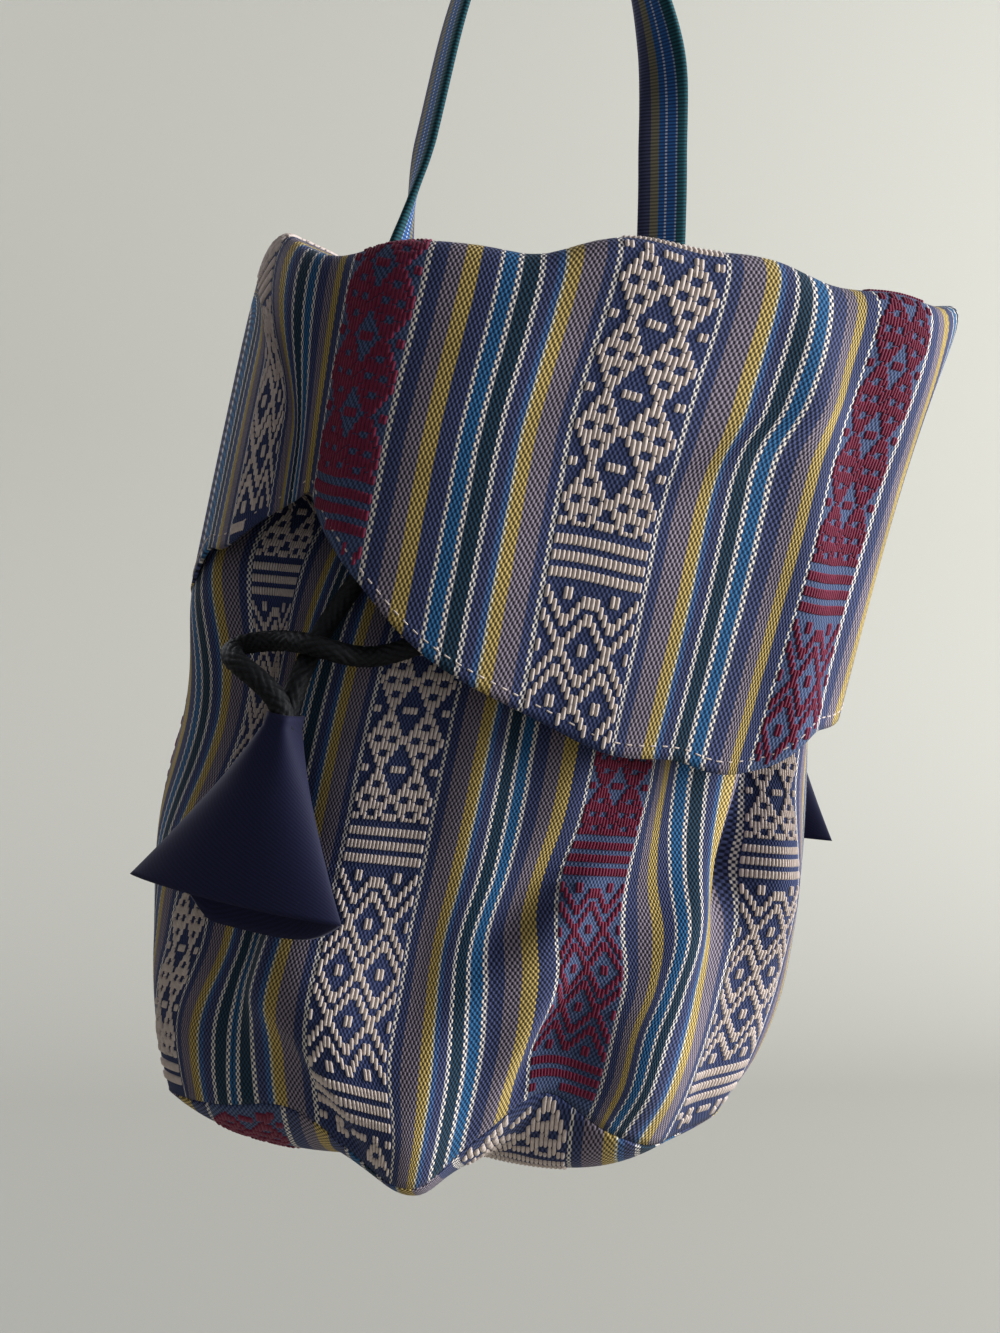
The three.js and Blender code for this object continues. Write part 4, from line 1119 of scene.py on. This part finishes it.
def make_flap_cloth():
    table = np.zeros((len(flap_q), len(flap_p), 3))
    for j, (line, length, _) in enumerate(flap_threads):
        table[:, j] = points_along(line, line_run(line), flap_q)
        table[:, j] += np.maximum(0, flap_q - length)[:, None] * unit(line[-1] - line[-2])
    even = Cloth(flap_p, flap_q, table)
    u = np.linspace(FLAP_CLOTH_U[0], FLAP_CLOTH_U[-1], FLAP_COLUMNS + 1)
    p, below = flap_place(u[None, :], flap_q[:, None])
    points, normals = even.at(p, flap_q[:, None] + 0 * p)
    lifted = points - normals * flap_lift(p, flap_q[:, None], below)[..., None]
    cloth = Cloth(u, flap_q, lifted)
    cloth.normals = -cloth.normals
    hem = np.full(len(u), 200.0)
    for _ in range(12):
        hem = mix(hem, np.interp(flap_place(u, hem)[0], flap_p, flap_length), 0.7)
    return cloth, hem


flap_cloth, flap_hem = make_flap_cloth()


def flap_layer(name, depth, coarse, trim, material, slot, node):
    rows, columns = FLAP_ROWS // coarse, FLAP_COLUMNS // coarse
    u = np.linspace(FLAP_CLOTH_U[0] + trim, FLAP_CLOTH_U[-1] - trim, columns + 1)[None, :]
    hem = np.interp(u, flap_cloth.u, flap_hem)
    q = trim * 0.5 + np.linspace(0, 1, rows + 1)[:, None] * (hem - trim * 1.5)
    points, normals = flap_cloth.at(u + 0 * q, q)
    mesh = cloth_mesh(name, points - normals * depth, u + HALF_REPEAT + 0 * q, -q, outward=-1)
    return add_piece(name, mesh, material, slot, node)


flap = flap_layer("striped_flap", 0, 1, 0, striped_cotton, "striped_cotton", "flap")
thicken(flap, FLAP_CLOTH)
navy = (navy_cotton, "lining_cotton", "flap_lining")
lining = flap_layer("flap_lining_navy", LINING_DEPTH, 2, LINING_TRIM, *navy)
thicken(lining, LINING_CLOTH)


# Raised pattern on the flap, the front, the back and the base. On the flap, a lean and an arch straighten the
# rows of a band that the folds pull askew.
def flap_floats(middle, yarn, bars_below, lean, arch=0):
    floats = band_floats(middle, yarn, bars_below - DIAMONDS - BARS / 2, -150, 400, 1)
    ridge = np.interp(np.interp(middle, FLAP_CLOTH_U, FLAP_BELOW), flap_p, flap_ridge)
    cross_u, cross_q = np.array([-3, 3, 0, 0]), np.array([0, 0, -3, 3])
    cross = flap_cloth.at(middle + cross_u, ridge + bars_below + cross_q)[0]
    across, along = cross[1] - cross[0], cross[3] - cross[2]
    square = lean - np.dot(across, along) / np.dot(along, along)
    aside = floats[:, 0] - middle
    floats[:, 1] += ridge + square * aside - arch * aside**2
    floats = floats[floats[:, 1] > 8]
    hem = np.interp(floats[:, 0], flap_cloth.u, flap_hem)
    return flap_cloth, floats[floats[:, 1] + floats[:, 2] / 2 < hem - 0.6]


# Running stitches that hold the hem of the flap, 3 mm from its edge
STITCH_INSET = 3.0
STITCH_PITCH = 3.1
STITCH_LENGTH = 1.7


def hem_stitches():
    u = np.linspace(flap_cloth.u[0] + STITCH_INSET, flap_cloth.u[-1] - STITCH_INSET, 2000)
    q = np.interp(u, flap_cloth.u, flap_hem) - STITCH_INSET
    run = line_run(flap_cloth.at(u, q)[0])
    at = np.arange(2, run[-1] - 2, STITCH_PITCH)
    turn = np.interp(at, run, np.arctan2(np.gradient(u), np.gradient(q)))
    length = STITCH_LENGTH + 0 * at
    return flap_cloth, np.stack([np.interp(at, run, u), np.interp(at, run, q), length, turn], -1)


def panel_floats(cloth, seam, bars_height, middle, yarn):
    start = bars_height / BODY_SLACK + DIAMONDS + BARS / 2
    floats = band_floats(middle, yarn, start, -30, (CASING_START + 6) / BODY_SLACK, -1)
    return cloth, floats[floats[:, 1] - floats[:, 2] / 2 > np.interp(floats[:, 0], cloth.u, seam) + 1.5]


def base_floats(middle, yarn, start):
    floats = band_floats(middle, yarn, start, -90, 90, 1)
    points, _ = base_cloth.at(floats[:, 0], floats[:, 1])
    return base_cloth, floats[base_cloth.share(points[:, 0], points[:, 1])[0] < 0.97]


on_front = (front_cloth, front_seam, BARS_HEIGHT)
on_back = (back_cloth, back_seam_v, BACK_BARS_HEIGHT)
pale_bands = {
    "flap": [
        flap_floats(0, PALE, 72.5, 0.11, 0.004),
        flap_floats(-136, PALE, 0, 0),
        flap_floats(136, PALE, 70, 0),
    ],
    "body": [panel_floats(*on, middle, PALE) for on in (on_front, on_back) for middle in (-68, 68)],
    "base": [base_floats(HALF_REPEAT, PALE, -90)],
}
burgundy_bands = {
    "flap": [flap_floats(-68, BURGUNDY, 57.7, 0.12, 0.013), flap_floats(68, BURGUNDY, 72, -0.2)],
    "body": [panel_floats(*on, BURGUNDY) for on in ((*on_front, 0), (*on_back, -136), (*on_back, 0))],
    "base": [base_floats(middle, BURGUNDY, -75) for middle in (0, 136)],
}
# Width and height of a float or stitch
PALE_SIZE = (1.14, 0.5)
BURGUNDY_SIZE = (1.06, 0.45)
STITCH_SIZE = (0.42, 0.22)
pale, burgundy = {}, {}
for part in ("flap", "body", "base"):
    pale[part] = float_piece(f"pale_floats_{part}", pale_bands[part], *PALE_SIZE, pale_yarn)
    bands = burgundy_bands[part]
    burgundy[part] = float_piece(f"burgundy_floats_{part}", bands, *BURGUNDY_SIZE, burgundy_yarn)
stitches = float_piece("flap_hem_stitches", [hem_stitches()], *STITCH_SIZE, pale_yarn)


# Carrying strap: a narrow striped tape, flat at its sewn ends and turned on edge on its way over the top
STRAP_ROUTE = [
    (-37.68, 34.6, 151.73), (-37.68, 34.6, 170.73), (-37.68, 50.45, 200.73), (-36.68, 50.45, 255.97),
    (-33.68, 50.45, 293.73), (-26.19, 50.45, 317.73), (-8.95, 50.45, 326.73), (12.76, 50.45, 316.73),
    (28.76, 50.45, 290.73), (36.76, 50.45, 255.97), (47.19, 50.45, 200.73), (48.19, 33.65, 170.73),
    (48.19, 33.65, 151.73),
]
# Start of each stripe in mm, its colour between the ribs and on them. All of them are drawn darker than the
# strap's own colours, as painted shade of a strap that hangs in shadow.
STRAP_STRIPES = [
    (0.0, "2a2c40", "434660"),
    (3.4, "4c493a", "736d58"),
    (5.8, "18345c", "29598f"),
    (7.6, "2b3256", "b4b6be"),
    (8.2, "18345c", "29598f"),
    (10.6, "2b3256", "8f9aac"),
    (11.1, "0c2a30", "1c4c54"),
]
STRAP_RIB = 1.0
# The way across the strap at its sewn feet, left and right
STRAP_FEET = (np.array([0.948, 0.318, 0]), np.array([0.908, -0.42, 0]))


# Close-woven strap cotton: stripes darkened with painted shade over fine ribs; two narrow ones, pale only on
# the ribs, look dotted
def make_strap_cotton():
    material, tree = new_material("striped_strap_cotton", 0.88, 0.04)
    cloth = add_node(tree, "SeparateXYZ", {0: add_node(tree, "UVMap", uv_map="cloth")})
    share = add_node(tree, "Math", {0: cloth.outputs[0], 1: STRAP_WIDTH}, operation="DIVIDE")
    ramps = [add_node(tree, "ValToRGB", {"Fac": share}) for _ in (0, 1)]
    for tone, ramp in enumerate(ramps):
        set_stops(ramp, [(start, colours[tone]) for start, *colours in STRAP_STRIPES], STRAP_WIDTH)
    row = add_node(tree, "Math", {0: cloth.outputs[1], 1: 2 * math.pi / STRAP_RIB}, operation="MULTIPLY")
    beat = add_node(tree, "Math", {0: row}, operation="SINE")
    shown = add_node(tree, "MapRange", {0: beat, 1: -0.6, 2: 0.6})
    woven = add_node(tree, "Mix", {0: shown, 6: ramps[0], 7: ramps[1]}, data_type="RGBA")
    dress(tree, woven, shown, 0.3, 0.0002)
    return material


def make_strap():
    line = smooth_line(STRAP_ROUTE, 1.6)
    ahead = unit(np.gradient(line, axis=0))
    run = line_run(line)
    profile = [(w, h) for h in (-1, 1) for w in np.linspace(-1, 1, 13) * h]
    rows = []
    for point, forward, t in zip(line, ahead, np.linspace(0, 1, len(line))):
        side = 1 if t < 0.5 else -1
        flat = unit(STRAP_FEET[0] if side > 0 else STRAP_FEET[1])
        turn = math.pi / 2 * (smooth((t - 0.13) / 0.13) if side > 0 else smooth((0.7 - t) / 0.15))
        wide = flat * math.cos(turn) + np.array([0, side, 0]) * math.sin(turn)
        wide = unit(wide - forward * np.dot(wide, forward))
        thick = unit(np.cross(forward, wide)) * STRAP_THICKNESS / 2
        wide = wide * STRAP_WIDTH / 2
        rows.append([point + side * (wide * w + thick * h * (1 - 0.45 * abs(w) ** 6)) for w, h in profile])
    across = np.array([(1 - w) / 2 * STRAP_WIDTH for w, _ in profile])
    mesh = cloth_mesh("striped_strap", np.array(rows), across[None, :], run[:, None], closed=True)
    return add_piece("striped_strap", mesh, make_strap_cotton(), "strap_cotton", "carry_strap"), run[-1]


strap, strap_length = make_strap()


# Pale floor and wall in one sweep of matt paper behind the hanging bag
FLOOR_FRONT = -1.6
FLOOR_Z = -0.52
WALL_Y = 1.2
WALL_TOP = 1.4
SWEEP_ROUND = 0.5
SWEEP_HALF = 2.6


def make_sweep():
    profile = [(FLOOR_FRONT, FLOOR_Z)]
    for angle in np.linspace(0, math.pi / 2, 13):
        back, up = 1 - math.sin(angle), 1 - math.cos(angle)
        profile.append((WALL_Y - SWEEP_ROUND * back, FLOOR_Z + SWEEP_ROUND * up))
    profile.append((WALL_Y, WALL_TOP))
    corners = [(x, y, z) for y, z in profile for x in (-SWEEP_HALF, SWEEP_HALF)]
    faces = [(2 * k, 2 * k + 1, 2 * k + 3, 2 * k + 2) for k in range(len(profile) - 1)]
    mesh = smooth_mesh("sweep", corners, faces)
    material, tree = new_material("pale_paper", 0.9, 0.0)
    tree.nodes["Principled BSDF"].inputs["Base Color"].default_value = linear("a09e96")
    mesh.materials.append(material)
    add_object("sweep", mesh)


def add_lamp(name, place_at, aim, size, power, colour):
    lamp = bpy.data.lights.new(name, "AREA")
    lamp.shape = "RECTANGLE"
    lamp.size, lamp.size_y = size
    lamp.energy = power
    lamp.color = linear(colour)[:3]
    holder = add_object(name, lamp)
    holder.location = place_at
    holder.rotation_euler = (Vector(aim) - Vector(place_at)).to_track_quat("-Z", "Y").to_euler()


make_sweep()
add_lamp("window_right", (2.2, -0.95, 0.5), (0, 0, -0.15), (1.6, 1.6), 172, "f8fbff")
add_lamp("fill_left", (-0.5, -1.1, 0.1), (0, 0, -0.22), (1.0, 1.0), 1.0, "d4e0ff")
add_lamp("fill_back", (-0.5, 1.0, 0.45), (0, 0, -0.22), (0.8, 0.8), 9, "f2f5ff")
world = bpy.data.worlds.new("studio")
world.use_nodes = True
sky = world.node_tree.nodes["Background"]
sky.inputs["Color"].default_value = linear("f0f1f2")
ray = add_node(world.node_tree, "LightPath")
seen = ray.outputs["Is Camera Ray"]
for kind in ("Is Glossy Ray", "Is Transmission Ray"):
    seen = add_node(world.node_tree, "Math", {0: seen, 1: ray.outputs[kind]}, operation="MAXIMUM")
strength = add_node(world.node_tree, "Mix", {0: seen, 2: 0.17, 3: 0.75})
world.node_tree.links.new(strength.outputs[0], sky.inputs["Strength"])
scene.world = world
scene.view_settings.view_transform = "Standard"
